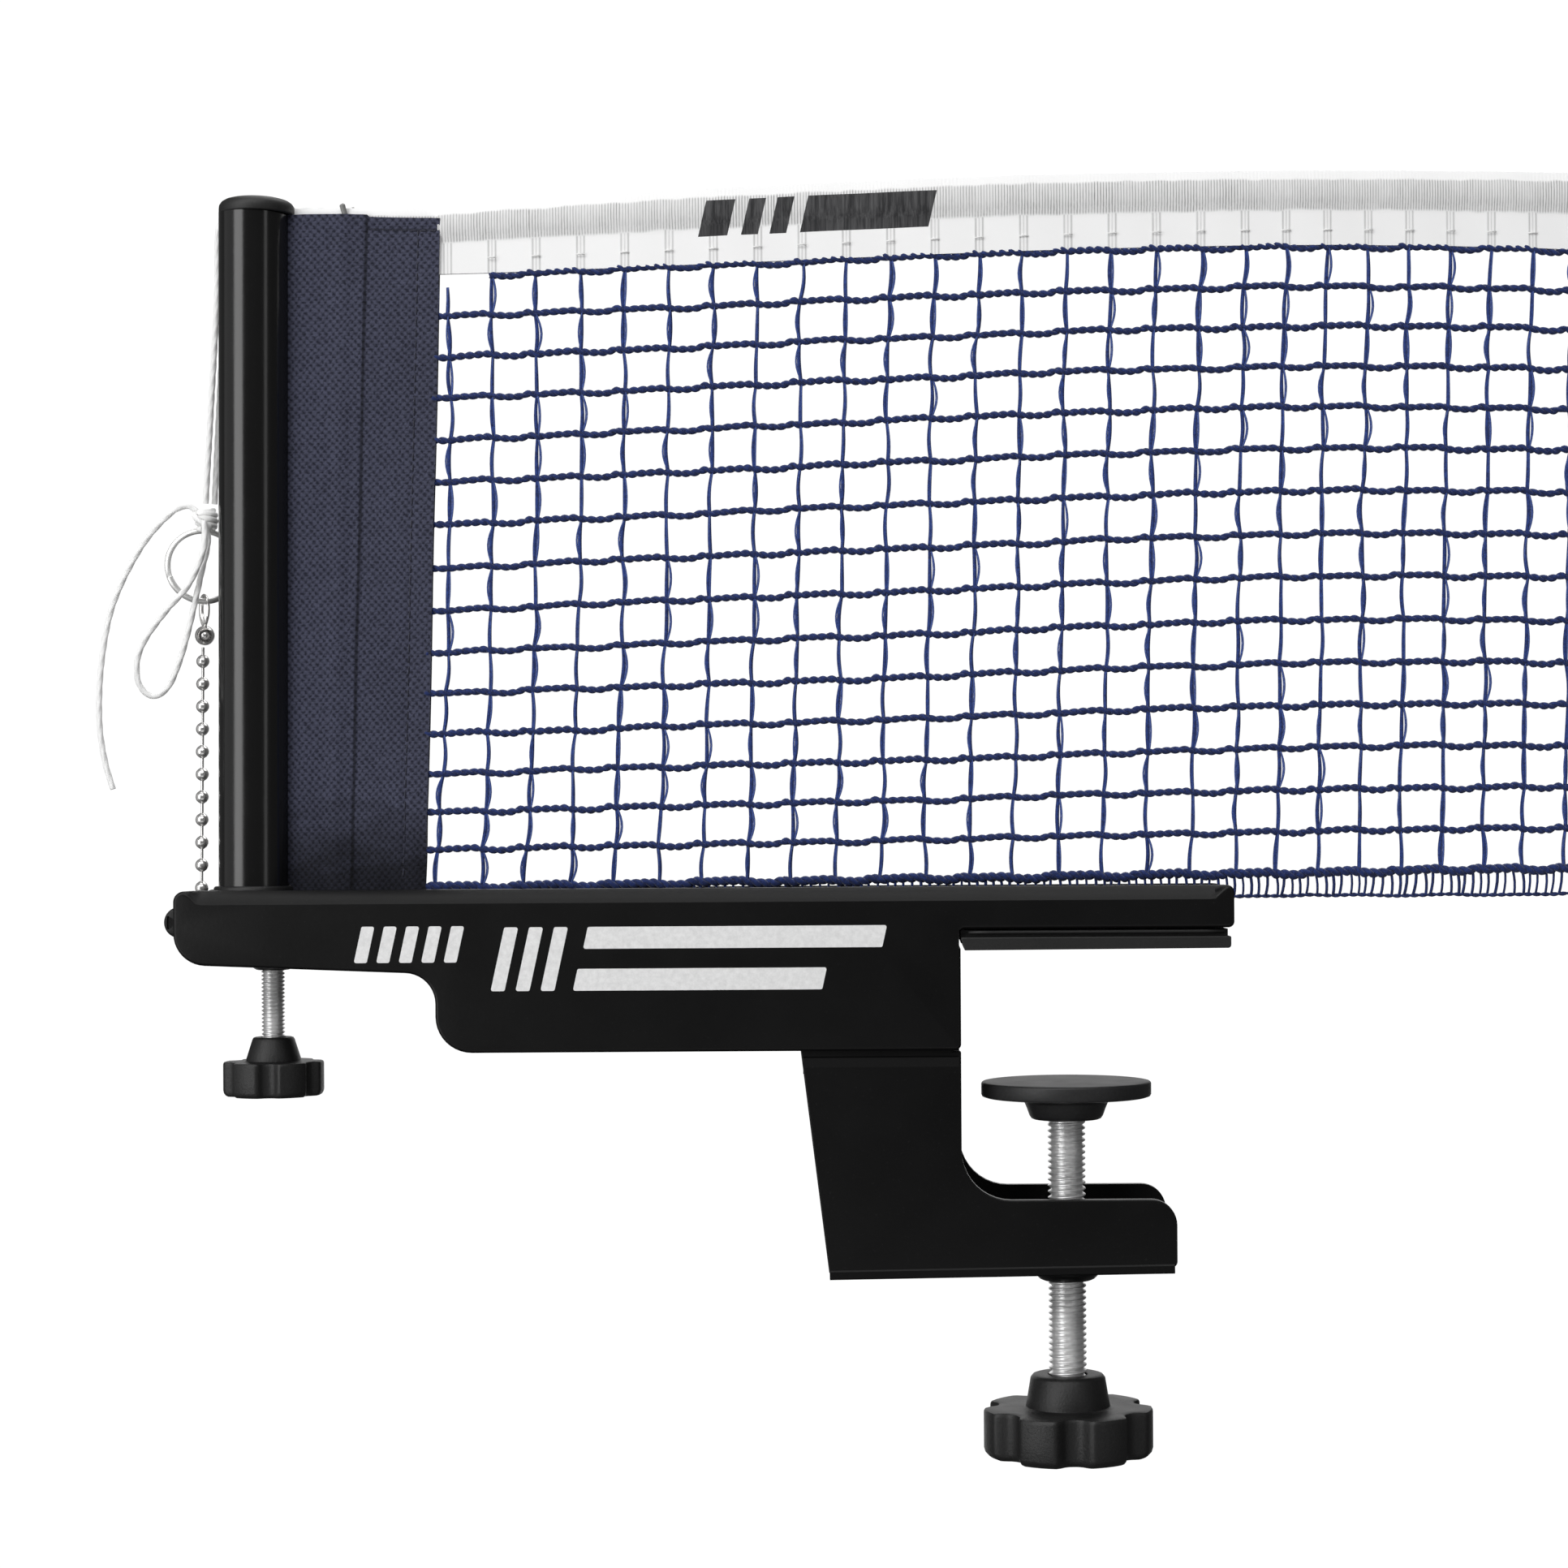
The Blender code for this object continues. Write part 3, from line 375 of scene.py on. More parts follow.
BLACK_STEEL = powder_coat("powder_coat")
POST_LACQUER = powder_coat("post_lacquer", (0.0042, 0.0042, 0.0043), 0.17, 0.25, 0.60)
BLACK_PLASTIC = moulded_plastic("grained_plastic", (0.0062, 0.0062, 0.0063))
CAP_PLASTIC = moulded_plastic("cap_plastic", (0.0085, 0.0085, 0.0085), 0.50, 0.4)
DISC_PLASTIC = moulded_plastic("disc_plastic", (0.012, 0.012, 0.0125), 0.50, 0.25)
PAD_RUBBER = moulded_plastic("pad_rubber", (0.0068, 0.0068, 0.0068), 0.50, 0.3)
ZINC = plated_steel("bright_zinc", (0.97, 0.97, 0.97), 0.34)
NICKEL = plated_steel("bright_nickel", (0.94, 0.93, 0.92), 0.16, 0.05)
RING_STEEL = plated_steel("ring_steel", (0.94, 0.94, 0.93), 0.38, 0.05)
SLEEVE_CLOTH = sleeve_cloth("navy_oxford")
SLEEVE_THREAD = twine("navy_thread", (0.020, 0.022, 0.045), (0.008, 0.009, 0.018), 3000.0)
TAPE_CLOTH = tape_cloth("white_tape")
WHITE_THREAD = twine("white_thread", (0.92, 0.92, 0.91), (0.80, 0.80, 0.79), 2500.0)
NET_TWINE = twine("blue_twine", (0.014, 0.036, 0.175), (0.003, 0.007, 0.040), 1500.0)
NET_UPRIGHT = twine("blue_upright", (0.022, 0.056, 0.260), (0.006, 0.014, 0.075), 1500.0)
NET_FILAMENT = twine("blue_filament", (0.075, 0.130, 0.400), (0.024, 0.044, 0.170), 2600.0)
CORD_WHITE = twine(
    "white_cord",
    (0.98, 0.98, 0.97),
    (0.90, 0.90, 0.89),
    2200.0,
    0.85,
    Subsurface_Weight=0.6,
    Subsurface_Radius=(1.0, 1.0, 1.0),
    Subsurface_Scale=0.0010,
)
BATTEN_GREY = plain("batten_grey", (0.24, 0.24, 0.235), 0.45)
WHITE_PRINT = plain("white_print", (0.88, 0.88, 0.88), 0.5)


# ---------------------------------------------------------------- mesh helpers


def add_object(name, mesh, finish, sharp=35.0):
    """Puts a mesh in the scene with one finish, shaded smooth up to the sharp angle."""
    mesh.materials.append(finish)
    mesh.shade_smooth()
    if sharp:
        mesh.set_sharp_from_angle(angle=math.radians(sharp))
    obj = bpy.data.objects.new(name, mesh)
    bpy.context.scene.collection.objects.link(obj)
    return obj


def from_data(name, points, faces, finish, sharp=35.0):
    """A mesh straight from points and faces."""
    mesh = bpy.data.meshes.new(name)
    mesh.from_pydata([tuple(point) for point in points], [], [tuple(face) for face in faces])
    mesh.validate()
    return add_object(name, mesh, finish, sharp)


def from_bmesh(name, bm, finish, sharp=35.0):
    """A mesh from a bmesh, whose faces are turned to point out."""
    bmesh.ops.recalc_face_normals(bm, faces=bm.faces)
    mesh = bpy.data.meshes.new(name)
    bm.to_mesh(mesh)
    bm.free()
    return add_object(name, mesh, finish, sharp)


def from_faces(name, points, faces, finish, sharp=35.0):
    """A closed mesh whose faces are turned to point out."""
    bm = bmesh.new()
    verts = [bm.verts.new(point) for point in points]
    for face in faces:
        bm.faces.new([verts[corner] for corner in face])
    return from_bmesh(name, bm, finish, sharp)


def with_uvs(name, points, faces, uvs, finish, sharp):
    """A mesh with one UV place for each point."""
    mesh = bpy.data.meshes.new(name)
    mesh.from_pydata(points, [], faces)
    layer = mesh.uv_layers.new(name="UVMap")
    for loop in mesh.loops:
        layer.data[loop.index].uv = uvs[loop.vertex_index]
    return add_object(name, mesh, finish, sharp)


def apply_modifiers(obj):
    """Replaces the object's mesh with its evaluated one."""
    graph = bpy.context.evaluated_depsgraph_get()
    baked = bpy.data.meshes.new_from_object(obj.evaluated_get(graph))
    obj.modifiers.clear()
    obj.data = baked
    return obj


def combine(name, pieces):
    """Joins several objects into the first one, which takes the name."""
    graph = bpy.context.evaluated_depsgraph_get()
    bm = bmesh.new()
    materials = []
    for piece in pieces:
        mesh = bpy.data.meshes.new_from_object(piece.evaluated_get(graph))
        mesh.transform(piece.matrix_world)
        slot = piece.data.materials[0]
        if slot not in materials:
            materials.append(slot)
        before = len(bm.faces)
        bm.from_mesh(mesh)
        bm.faces.ensure_lookup_table()
        for face in bm.faces[before:]:
            face.material_index = materials.index(slot)
    joined = bpy.data.meshes.new(name)
    bm.to_mesh(joined)
    bm.free()
    for slot in materials:
        joined.materials.append(slot)
    for piece in pieces:
        bpy.data.objects.remove(piece)
    obj = bpy.data.objects.new(name, joined)
    bpy.context.scene.collection.objects.link(obj)
    return obj


def rounded(corners, steps=10):
    """Outline of (x, z) points from corners (x, z, radius), with an arc at each rounded corner."""
    outline = []
    for index, (x, z, radius) in enumerate(corners):
        here = Vector((x, z))
        before = (Vector(corners[index - 1][:2]) - here).normalized()
        after = (Vector(corners[(index + 1) % len(corners)][:2]) - here).normalized()
        if radius == 0:
            outline.append(here)
            continue
        half = before.angle(after) / 2
        centre = here + (before + after).normalized() * radius / math.sin(half)
        start = here + before * radius / math.tan(half) - centre
        end = here + after * radius / math.tan(half) - centre
        turn = -start.angle_signed(end)
        for step in range(steps + 1):
            outline.append(centre + Matrix.Rotation(turn * step / steps, 2) @ start)
    return outline


def prism(name, outline, y_low, y_high, finish, bend=0.0, segments=6):
    """Outline in XZ extruded along Y; both rims are rounded by bend."""
    bm = bmesh.new()
    front = [bm.verts.new((x, y_low, z)) for x, z in outline]
    back = [bm.verts.new((x, y_high, z)) for x, z in outline]
    bm.faces.new(front)
    bm.faces.new(list(reversed(back)))
    count = len(outline)
    layer = bm.edges.layers.float.new("bevel_weight_edge")
    for index in range(count):
        after = (index + 1) % count
        bm.faces.new((front[index], back[index], back[after], front[after]))
        for rim in (front, back):
            bm.edges.get((rim[index], rim[after]))[layer] = 1.0
    obj = from_bmesh(name, bm, finish)
    if bend:
        rounding = obj.modifiers.new("bend", "BEVEL")
        rounding.width = bend
        rounding.segments = segments
        rounding.limit_method = "WEIGHT"
        rounding.harden_normals = False
    return obj


def pressed(name, corners, half, rounding, finish, spacing=0.0012, steps=6):
    """Plate between Y = -half and half with rims rounded by rounding(x, z); wide ones are nearly flat."""
    outline = []
    sharp = rounded(corners)
    for here, after in zip(sharp, sharp[1:] + sharp[:1]):
        cuts = max(1, round((after - here).length / spacing))
        outline += [here.lerp(after, index / cuts) for index in range(cuts)]
    count = len(outline)
    inward = []
    for index, here in enumerate(outline):
        along = (outline[(index + 1) % count] - outline[index - 1]).normalized()
        inward.append(Vector((-along.y, along.x)))
    area = sum(a.x * b.y - b.x * a.y for a, b in zip(outline, outline[1:] + outline[:1]))
    turn = 1.0 if area > 0 else -1.0
    rings = []
    for side in (-1, 1):
        for step in range(steps + 1) if side > 0 else range(steps, -1, -1):
            angle = math.pi / 2 * step / steps
            ring = []
            for here, way in zip(outline, inward):
                radius = rounding(here.x, here.y)
                flat = 0.75 * clamped((radius - 0.0010) / 0.0010)
                inside = (1 - flat) * (1 - math.cos(angle)) + flat * step / steps
                back = (1 - flat) * (1 - math.sin(angle)) + flat * (1 - step / steps)
                shift = way * turn * radius * inside
                ring.append((here.x + shift.x, side * (half - radius * back), here.y + shift.y))
            rings.append(ring)
    points = [point for ring in rings for point in ring]
    faces = [tuple(range(count)), tuple(reversed(range(len(points) - count, len(points))))]
    for index in range(len(rings) - 1):
        for corner in range(count):
            after = (corner + 1) % count
            low, high = index * count, (index + 1) * count
            faces.append((low + corner, high + corner, high + after, low + after))
    return from_faces(name, points, faces, finish)


def box(name, low, high, finish=BLACK_STEEL):
    """Block between two corners."""
    outline = [(low[0], low[2]), (high[0], low[2]), (high[0], high[2]), (low[0], high[2])]
    return prism(name, outline, low[1], high[1], finish)


def turned(name, stations, finish, x=0.0, y=0.0, count=64, phase=0.0, sharp=35.0):
    """Solid round a vertical axis from stations (z, radius), top to bottom; radius may follow the angle."""
    points, faces, rings = [], [], []
    for z, radius in stations:
        if not callable(radius) and radius == 0:
            rings.append([len(points)])
            points.append((x, y, z))
            continue
        rings.append(list(range(len(points), len(points) + count)))
        for index in range(count):
            angle = phase + math.tau * index / count
            reach = radius(angle) if callable(radius) else radius
            points.append((x + reach * math.cos(angle), y + reach * math.sin(angle), z))
    pairs = list(zip(rings, rings[1:]))
    if len(rings[0]) > 1:
        pairs.append((rings[-1], rings[0]))
    for above, below in pairs:
        for index in range(count):
            after = (index + 1) % count
            corners = [above[index % len(above)], below[index % len(below)]]
            corners += [below[after % len(below)], above[after % len(above)]]
            faces.append(list(dict.fromkeys(corners)))
    return from_data(name, points, faces, finish, sharp)


def drill(high, low, radius, x=0.0, count=64):
    """Cutter for a round hole along Z."""
    return turned("drill", [(high, 0), (high, radius), (low, radius), (low, 0)], BLACK_STEEL, x, count=count)


def ball_stations(z, radius, steps):
    """Stations of a ball, from its top to its bottom."""
    angles = [math.pi * step / steps for step in range(1, steps)]
    arc = [(z + radius * math.cos(angle), radius * math.sin(angle)) for angle in angles]
    return [(z + radius, 0), *arc, (z - radius, 0)]


def face_front(obj, place):
    """Turns a piece made round Z to lie round Y, and moves it to its place."""
    obj.data.transform(Matrix.Rotation(math.pi / 2, 4, "X"))
    obj.data.transform(Matrix.Translation(place))


def cut(target, *cutters):
    """Cuts, applies the result and removes the cutters. Booleans round off less in millimetres."""
    apply_modifiers(target)
    target.data.transform(Matrix.Scale(1000, 4))
    target.scale = (0.001, 0.001, 0.001)
    for cutter in cutters:
        step = target.modifiers.new("cut", "BOOLEAN")
        step.operation = "DIFFERENCE"
        step.solver = "EXACT"
        step.object = cutter
    apply_modifiers(target)
    for cutter in cutters:
        bpy.data.objects.remove(cutter)
    target.data.transform(Matrix.Scale(0.001, 4))
    target.scale = (1.0, 1.0, 1.0)
    target.data.shade_smooth()
    target.data.set_sharp_from_angle(angle=math.radians(32))
    return target


def smooth_route(points, spacing):
    """Evenly spread points on a Catmull-Rom curve through the route's own points."""
    points = [Vector(point) for point in points]
    padded = [2 * points[0] - points[1], *points, 2 * points[-1] - points[-2]]
    fine = []
    steps = 24
    for index in range(1, len(padded) - 2):
        before, start, end, after = padded[index - 1 : index + 3]
        for step in range(steps):
            t = step / steps
            fine.append(
                0.5
                * (
                    2 * start
                    + (end - before) * t
                    + (2 * before - 5 * start + 4 * end - after) * t * t
                    + (3 * start - before - 3 * end + after) * t**3
                )
            )
    fine.append(points[-1])
    fine = np.array([tuple(point) for point in fine])
    walked = walked_along(fine)
    wanted = np.linspace(0.0, walked[-1], max(3, round(walked[-1] / spacing)))
    return np.stack([np.interp(wanted, walked, fine[:, axis]) for axis in range(3)], axis=1)


def walked_along(points):
    """Distance walked along a path at each of its points."""
    return np.concatenate([[0.0], np.cumsum(np.linalg.norm(np.diff(points, axis=0), axis=1))])


def frames_along(points):
    """Two unit vectors across a path at each of its points, carried along without twist."""
    points = np.asarray(points, float)
    tangents = np.gradient(points, axis=0)
    tangents /= np.linalg.norm(tangents, axis=1)[:, None]
    side = np.cross(tangents[0], (0.0, 1.0, 0.0))
    if np.linalg.norm(side) < 0.1:
        side = np.cross(tangents[0], (1.0, 0.0, 0.0))
    sides = []
    for tangent in tangents:
        side = side - tangent * (side @ tangent)
        side = side / np.linalg.norm(side)
        sides.append(side)
    sides = np.array(sides)
    return sides, np.cross(tangents, sides)


def tube_data(points, section, start=0):
    """Points and faces of a tube with capped ends. section(i) gives its (m, 2) outline at point i."""
    points = np.asarray(points, float)
    first, second = frames_along(points)
    rings = []
    for index, centre in enumerate(points):
        outline = section(index)
        rings.append(centre + outline[:, :1] * first[index] + outline[:, 1:] * second[index])
    sides = len(rings[0])
    verts = np.concatenate(rings)
    faces = []
    for index in range(len(rings) - 1):
        low = start + index * sides
        for side in range(sides):
            after = (side + 1) % sides
            faces.append((low + side, low + after, low + sides + after, low + sides + side))
    faces.append(tuple(start + side for side in reversed(range(sides))))
    faces.append(tuple(start + (len(rings) - 1) * sides + side for side in range(sides)))
    return verts, faces


def circle(radius, sides):
    """Outline of a round section."""
    angles = np.arange(sides) * math.tau / sides
    return np.stack([radius * np.cos(angles), radius * np.sin(angles)], axis=1)


def tubes(name, paths, finish, sides=6, sharp=0.0):
    """Many round tubes in one mesh, from (points, radius or radii)."""
    all_points, all_faces = [], []
    total = 0
    unit = circle(1.0, sides)
    for points, radius in paths:
        radii = np.broadcast_to(radius, (len(points),))
        verts, faces = tube_data(points, lambda index, radii=radii: unit * radii[index], total)
        all_points.append(verts)
        all_faces.extend(faces)
        total += len(verts)
    return from_data(name, np.concatenate(all_points), all_faces, finish, sharp)


def laid_cord(name, points, finish, radius=CORD_RADIUS, strands=3, lay=0.0034):
    """Laid cord: a tube whose lobed section turns along its length."""
    walked = walked_along(points)
    sides = 18
    angles = np.arange(sides) * math.tau / sides

    def section(index):
        turn = walked[index] / lay * math.tau / strands
        lobes = np.abs(np.cos(strands / 2 * (angles - turn)))
        reach = radius * (0.86 + 0.20 * lobes)
        return np.stack([reach * np.cos(angles), reach * np.sin(angles)], axis=1)

    verts, faces = tube_data(points, section)
    return from_data(name, verts, faces, finish, 60.0)


# ---------------------------------------------------------------- bracket


def arm_outline(inset):
    """Side view of the arm, drawn in by the inset. The inner one runs out through the rail's end."""
    left = ARM[0].x - 0.0004 + inset
    step = edge_x(-0.1055) + inset
    end_z = -0.00225 + inset
    step_z = end_z - (step - left) * math.tan(math.radians(2.4))
    inner = edge_x(0.0) - inset
    rail_end = ARM[1].x + (0.005 if inset else 0.0)
    return [
        (left, ARM[1].z - inset, 0.0022 - inset),
        (left, end_z, 0.0065 - inset),
        (step, step_z, 0.0062 + inset),
        (step, ARM[0].z + inset, 0.0073 - inset),
        (inner, ARM[0].z + inset, 0.0012 if not inset else 0.0004),
        (inner, RAIL_BOTTOM_Z + inset, 0.0008),
        (rail_end, RAIL_BOTTOM_Z + inset, 0.0012 if not inset else 0.0004),
        (rail_end, ARM[1].z - inset, 0.0014 if not inset else 0.0004),
    ]


def arm_rounding(inset):
    """Radius of the bend at a point of the outline: wide along the top, tight round the rest."""
    top = ARM[1].z - inset

    def radius(x, z):
        ends = min(x - ARM[0].x - 0.0020, ARM[1].x - 0.0014 - x) / 0.0028
        along = clamped(ends) if z > top - 0.0001 else 0.0
        return 0.0007 + 0.0021 * eased(along)

    if inset:
        return lambda x, z: max(0.0001, radius(x, z) - inset)
    return radius


def make_arm():
    """Pressed shell, open along the top, with a burr round the screw's hole and the table relief."""
    sheet = 0.0015
    half = ARM[1].y
    arm = pressed("arm_body", arm_outline(0.0), half, arm_rounding(0.0), BLACK_STEEL)
    hollow = pressed("hollow", arm_outline(sheet), half - sheet, arm_rounding(sheet), BLACK_STEEL)
    far_left = ARM[0].x - 0.004
    lip = 0.0085
    top_slot = box("slot", (far_left, -lip, 0.0102), (ARM[1].x + 0.004, lip, 0.0160))
    end_slot = box("slot", (far_left, -lip, -0.0060), (edge_x(-0.1517), lip, 0.0150))
    window = box(
        "window",
        (edge_x(-0.0337), sheet - half, ARM[0].z - 0.003),
        (edge_x(-sheet), half - sheet, ARM[0].z + 0.003),
    )
    relief = box(
        "relief",
        (edge_x(-0.0003), -half - 0.001, 0.0),
        (edge_x(0.0030), half + 0.001, RAIL_BOTTOM_Z - 0.00015),
    )
    bore = 0.0031
    cut(arm, hollow, top_slot, end_slot, window, relief, drill(0.002, -0.008, bore, LIFT_X))
    low = -0.0030
    rim = [(low, bore), (low, 0.0045), (low - 0.0003, 0.0044), (low - 0.0009, 0.0035), (low - 0.0010, bore)]
    burr = turned("burr", rim, BLACK_STEEL, LIFT_X)
    shell = combine("arm_shell_pressed", [arm, burr])
    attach(shell, "bracket")
    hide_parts("arm_shell")


def bar_along(start, end, section):
    """Straight bar from start to end; its section lists points as (up, towards the front)."""
    points, faces = tube_data([start, end], lambda index: np.array(section))
    return from_faces("bar", points, faces, BLACK_STEEL, 20.0)


def leg_left(z):
    """The leg's left edge leans."""
    return edge_x(-0.0323 + 0.1244 * (-0.021 - z))


def make_leg():
    """Folded channel with a thicker lip under the foot and a pressed step below the arm."""
    sheet = 0.0020
    foot_top = -0.0507
    seam_z = ARM[0].z - 0.0003
    tucked = edge_x(-0.0018)
    fold_left, fold_right = -0.0653, -0.0644
    half = LEG[1].y
    corners = [
        (LEG[0].x, LEG[1].z, 0.001),
        (leg_left(fold_left), fold_left, 0.0005),
        (LEG[1].x, fold_right, 0.0012),
        (LEG[1].x, foot_top, 0.0052),
        (edge_x(0.0), foot_top, 0.0100),
        (edge_x(0.0), seam_z, 0.0004),
        (tucked, seam_z, 0.0),
        (tucked, LEG[1].z, 0.0),
    ]
    leg = prism("leg_body", rounded(corners), -half, half, BLACK_STEEL, 0.0003)
    channel = box(
        "channel",
        (LEG[0].x - 0.005, sheet - half, LEG[0].z + sheet),
        (LEG[1].x + 0.005, half - sheet, LEG[1].z + 0.004),
    )
    proud = half + 0.0003
    section = [(0.0010, half - 0.0003), (0.0004, proud), (-0.0009, proud), (-0.0012, half)]
    section += [(up, -front) for up, front in reversed(section)]
    lip = bar_along(
        (leg_left(fold_left) + 0.0001, 0.0, fold_left), (LEG[1].x - 0.00055, 0.0, fold_right), section
    )
    bore = (-0.058, -0.070, 0.0058)
    cut(leg, channel, drill(*bore))
    cut(lip, drill(*bore))
    pieces = [leg, lip]
    for side in (-1, 1):
        step = [(0.0002, half - 0.0002), (-0.0003, half + 0.0003), (-0.0035, half - 0.0002)]
        ridge = [(up, -side * front) for up, front in step]
        pieces.append(bar_along((leg_left(-0.0250), 0.0, -0.0215), (edge_x(-0.0004), 0.0, -0.0215), ridge))
    folded = combine("leg_channel_folded", pieces)
    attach(folded, "bracket")
    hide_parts("leg_channel")


def make_pad():
    """Rubber strip with a narrower neck under the rail, and rounded lower edges."""
    half = PAD[1].y
    low, high = PAD[0].x - 0.0004, PAD[1].x + 0.0002
    groove = 0.0023
    body = [(low + 0.0008, -0.0003, 0.0003), (high, -0.0001, 0.0006)]
    body += [(high, groove, 0.0003), (low, groove, 0.0002)]
    strip = prism("strip", rounded(body, 3), -half, half, PAD_RUBBER, 0.0004, 3)
    neck = box("neck", (low + 0.0001, -0.0150, 0.0011), (high - 0.0005, 0.0150, PAD[1].z), PAD_RUBBER)
    bead = []
    for side in (-1, 1):
        y = side * 0.0158
        line = [(low + 0.0016, y, 0.0033), (high - 0.0012, y, 0.0033)]
        bead.append((smooth_route(line, 0.004), 0.00042))
    beads = tubes("beads", bead, PAD_RUBBER, 10)
    pad = combine("pad_strip", [strip, neck, beads])
    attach(pad, "bracket")
    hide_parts("table_pad")


def make_anchor():
    """Plain cross strap with its tongue, and the round ear that shows at the arm's end."""
    strap = [
        (edge_x(-0.1600), 0.00527),
        (edge_x(-0.1541), 0.00527),
        (edge_x(-0.1541), 0.00643),
        (edge_x(-0.1600), 0.00643),
    ]
    tongue = prism("tongue", strap, -0.0066, 0.0066, BLACK_STEEL, 0.00025, 3)
    bar = box("bar", (edge_x(-0.1558), -0.0148, 0.0053), (edge_x(-0.1541), 0.0148, 0.0064))
    ear = turned(
        "ear",
        [
            (0.0008, 0), (0.0008, 0.0026), (0.0006, 0.0030), (0.0002, 0.0032),
            (-0.0002, 0.0032), (-0.0006, 0.0030), (-0.0008, 0.0026), (-0.0008, 0),
        ],
        BLACK_STEEL,
    )
    face_front(ear, (edge_x(-0.1602), -0.0020, 0.0059))
    crescent = drill(0.002, -0.002, 0.0014, count=32)
    crescent.data.transform(Matrix.Diagonal((0.22, 1.0, 1.0, 1.0)))
    face_front(crescent, (edge_x(-0.1624), -0.0044, 0.0059))
    cut(ear, crescent)
    anchor = combine("chain_anchor_strap", [tongue, bar, ear])
    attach(anchor, "bracket")
    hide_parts("chain_anchor")


def make_bush():
    """Plastic ring round the post's foot, with a flange inside the arm."""
    bore = POST_RADIUS + 0.00015
    top = BUSH_TOP_Z
    bush = turned(
        "guide_bush",
        [
            (top, bore), (top, 0.0078), (top - 0.0001, 0.0080), (top - 0.0004, 0.0082),
            (0.0107, 0.0082), (0.0107, 0.0104), (0.0085, 0.0104), (0.0085, 0.0086),
            (0.0017, 0.0086), (0.0017, bore),
        ],
        BLACK_PLASTIC,
        POST_X,
    )
    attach(bush, "bracket")
    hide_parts("post_bush")


def make_clamp_nut():
    """Collar pressed through the foot, with its hexagon above."""
    low = LEG[0].z - 0.0003
    high = LEG[0].z + 0.0023
    bore = 0.0041
    collar = turned(
        "collar",
        [
            (high + 0.0035, bore), (high + 0.0035, 0.0054), (low, 0.0054), (low, 0.0068),
            (low - 0.0008, 0.0069), (low - 0.0016, 0.0065), (low - 0.0024, 0.0057),
            (low - 0.0027, 0.0050), (low - 0.0027, bore),
        ],
        BLACK_STEEL,
    )
    hexagon = turned(
        "hexagon",
        [
            (high + 0.0050, bore), (high + 0.0050, 0.0066), (high + 0.0046, 0.0074),
            (high, 0.0074), (high, bore),
        ],
        BLACK_STEEL,
        count=6,
        sharp=20.0,
    )
    nut = combine("clamp_nut_body", [collar, hexagon])
    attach(nut, "bracket")
    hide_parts("clamp_nut")


def make_emblem():
    """Plain printed bars on both faces of the arm, in place of lettering."""
    skin = 0.00004
    bars = []
    lean = 0.22
    low_z, high_z = -0.0079, 0.0049
    for index in range(3):
        bars.append((edge_x(-0.0943) + 0.0050 * index, 0.0028, low_z, high_z))
    bars.append((edge_x(-0.0757), 0.0600, high_z - 0.0044, high_z))
    bars.append((edge_x(-0.0778), 0.0500, low_z, low_z + 0.0044))
    for index in range(5):
        bars.append((edge_x(-0.1217) + 0.0045 * index, 0.0026, -0.0021, 0.0052))
    for side in (-1, 1):
        pieces = []
        for x, width, low, high in bars:
            reach = (high - low) * lean
            corners = [(x, low, 0.0004), (x + width, low, 0.0004)]
            corners += [(x + width + reach, high, 0.0004), (x + reach, high, 0.0004)]
            if side > 0:
                middle = 2 * edge_x(-0.0680)
                corners = [(middle - bx, bz, radius) for bx, bz, radius in reversed(corners)]
            face = side * (ARM[1].y + 0.00001)
            ends = sorted((face, face + side * skin))
            pieces.append(prism("bar", rounded(corners, 4), ends[0], ends[1], WHITE_PRINT))
        emblem = combine("arm_print_front" if side < 0 else "arm_print_back", pieces)
        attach(emblem, "bracket")


# ---------------------------------------------------------------- post


def make_post():
    """Lacquered tube with the slot for the net, and the cap that closes it."""
    wall = 0.0010
    top, base = POST[1].z, POST[0].z
    tube = turned(
        "post_body",
        [
            (top, POST_RADIUS - wall), (top, POST_RADIUS - 0.0003), (top - 0.0003, POST_RADIUS),
            (base, POST_RADIUS), (base, POST_RADIUS - wall),
        ],
        POST_LACQUER,
        POST_X,
        count=96,
    )
    slit = box("slit", (POST_X + 0.004, -0.0012, 0.0135), (POST_X + 0.010, 0.0012, top + 0.002))
    cut(tube, slit)
    for vert in tube.data.vertices:
        vert.co.x += post_lean(vert.co.z)
    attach(tube, "post")
    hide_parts("post_tube")
    cap = turned(
        "post_cap_body",
        [
            (0.1545, 0), (0.1545, 0.0050), (0.15445, 0.0058), (0.1542, 0.0066),
            (0.1538, 0.0072), (0.1532, 0.0076), (0.1525, 0.0077), (0.1516, 0.0077),
            (0.1514, 0.0076), (0.1513, 0.0074), (0.1513, POST_RADIUS + 0.0001),
            (top + 0.0001, POST_RADIUS + 0.0001), (top + 0.0001, 0.0058), (0.1490, 0.0058),
            (0.1490, 0),
        ],
        CAP_PLASTIC,
        POST_X + post_lean(top) + 0.0005,
        count=96,
        sharp=50.0,
    )
    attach(cap, "post")
    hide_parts("post_cap")


# ---------------------------------------------------------------- screws and knobs


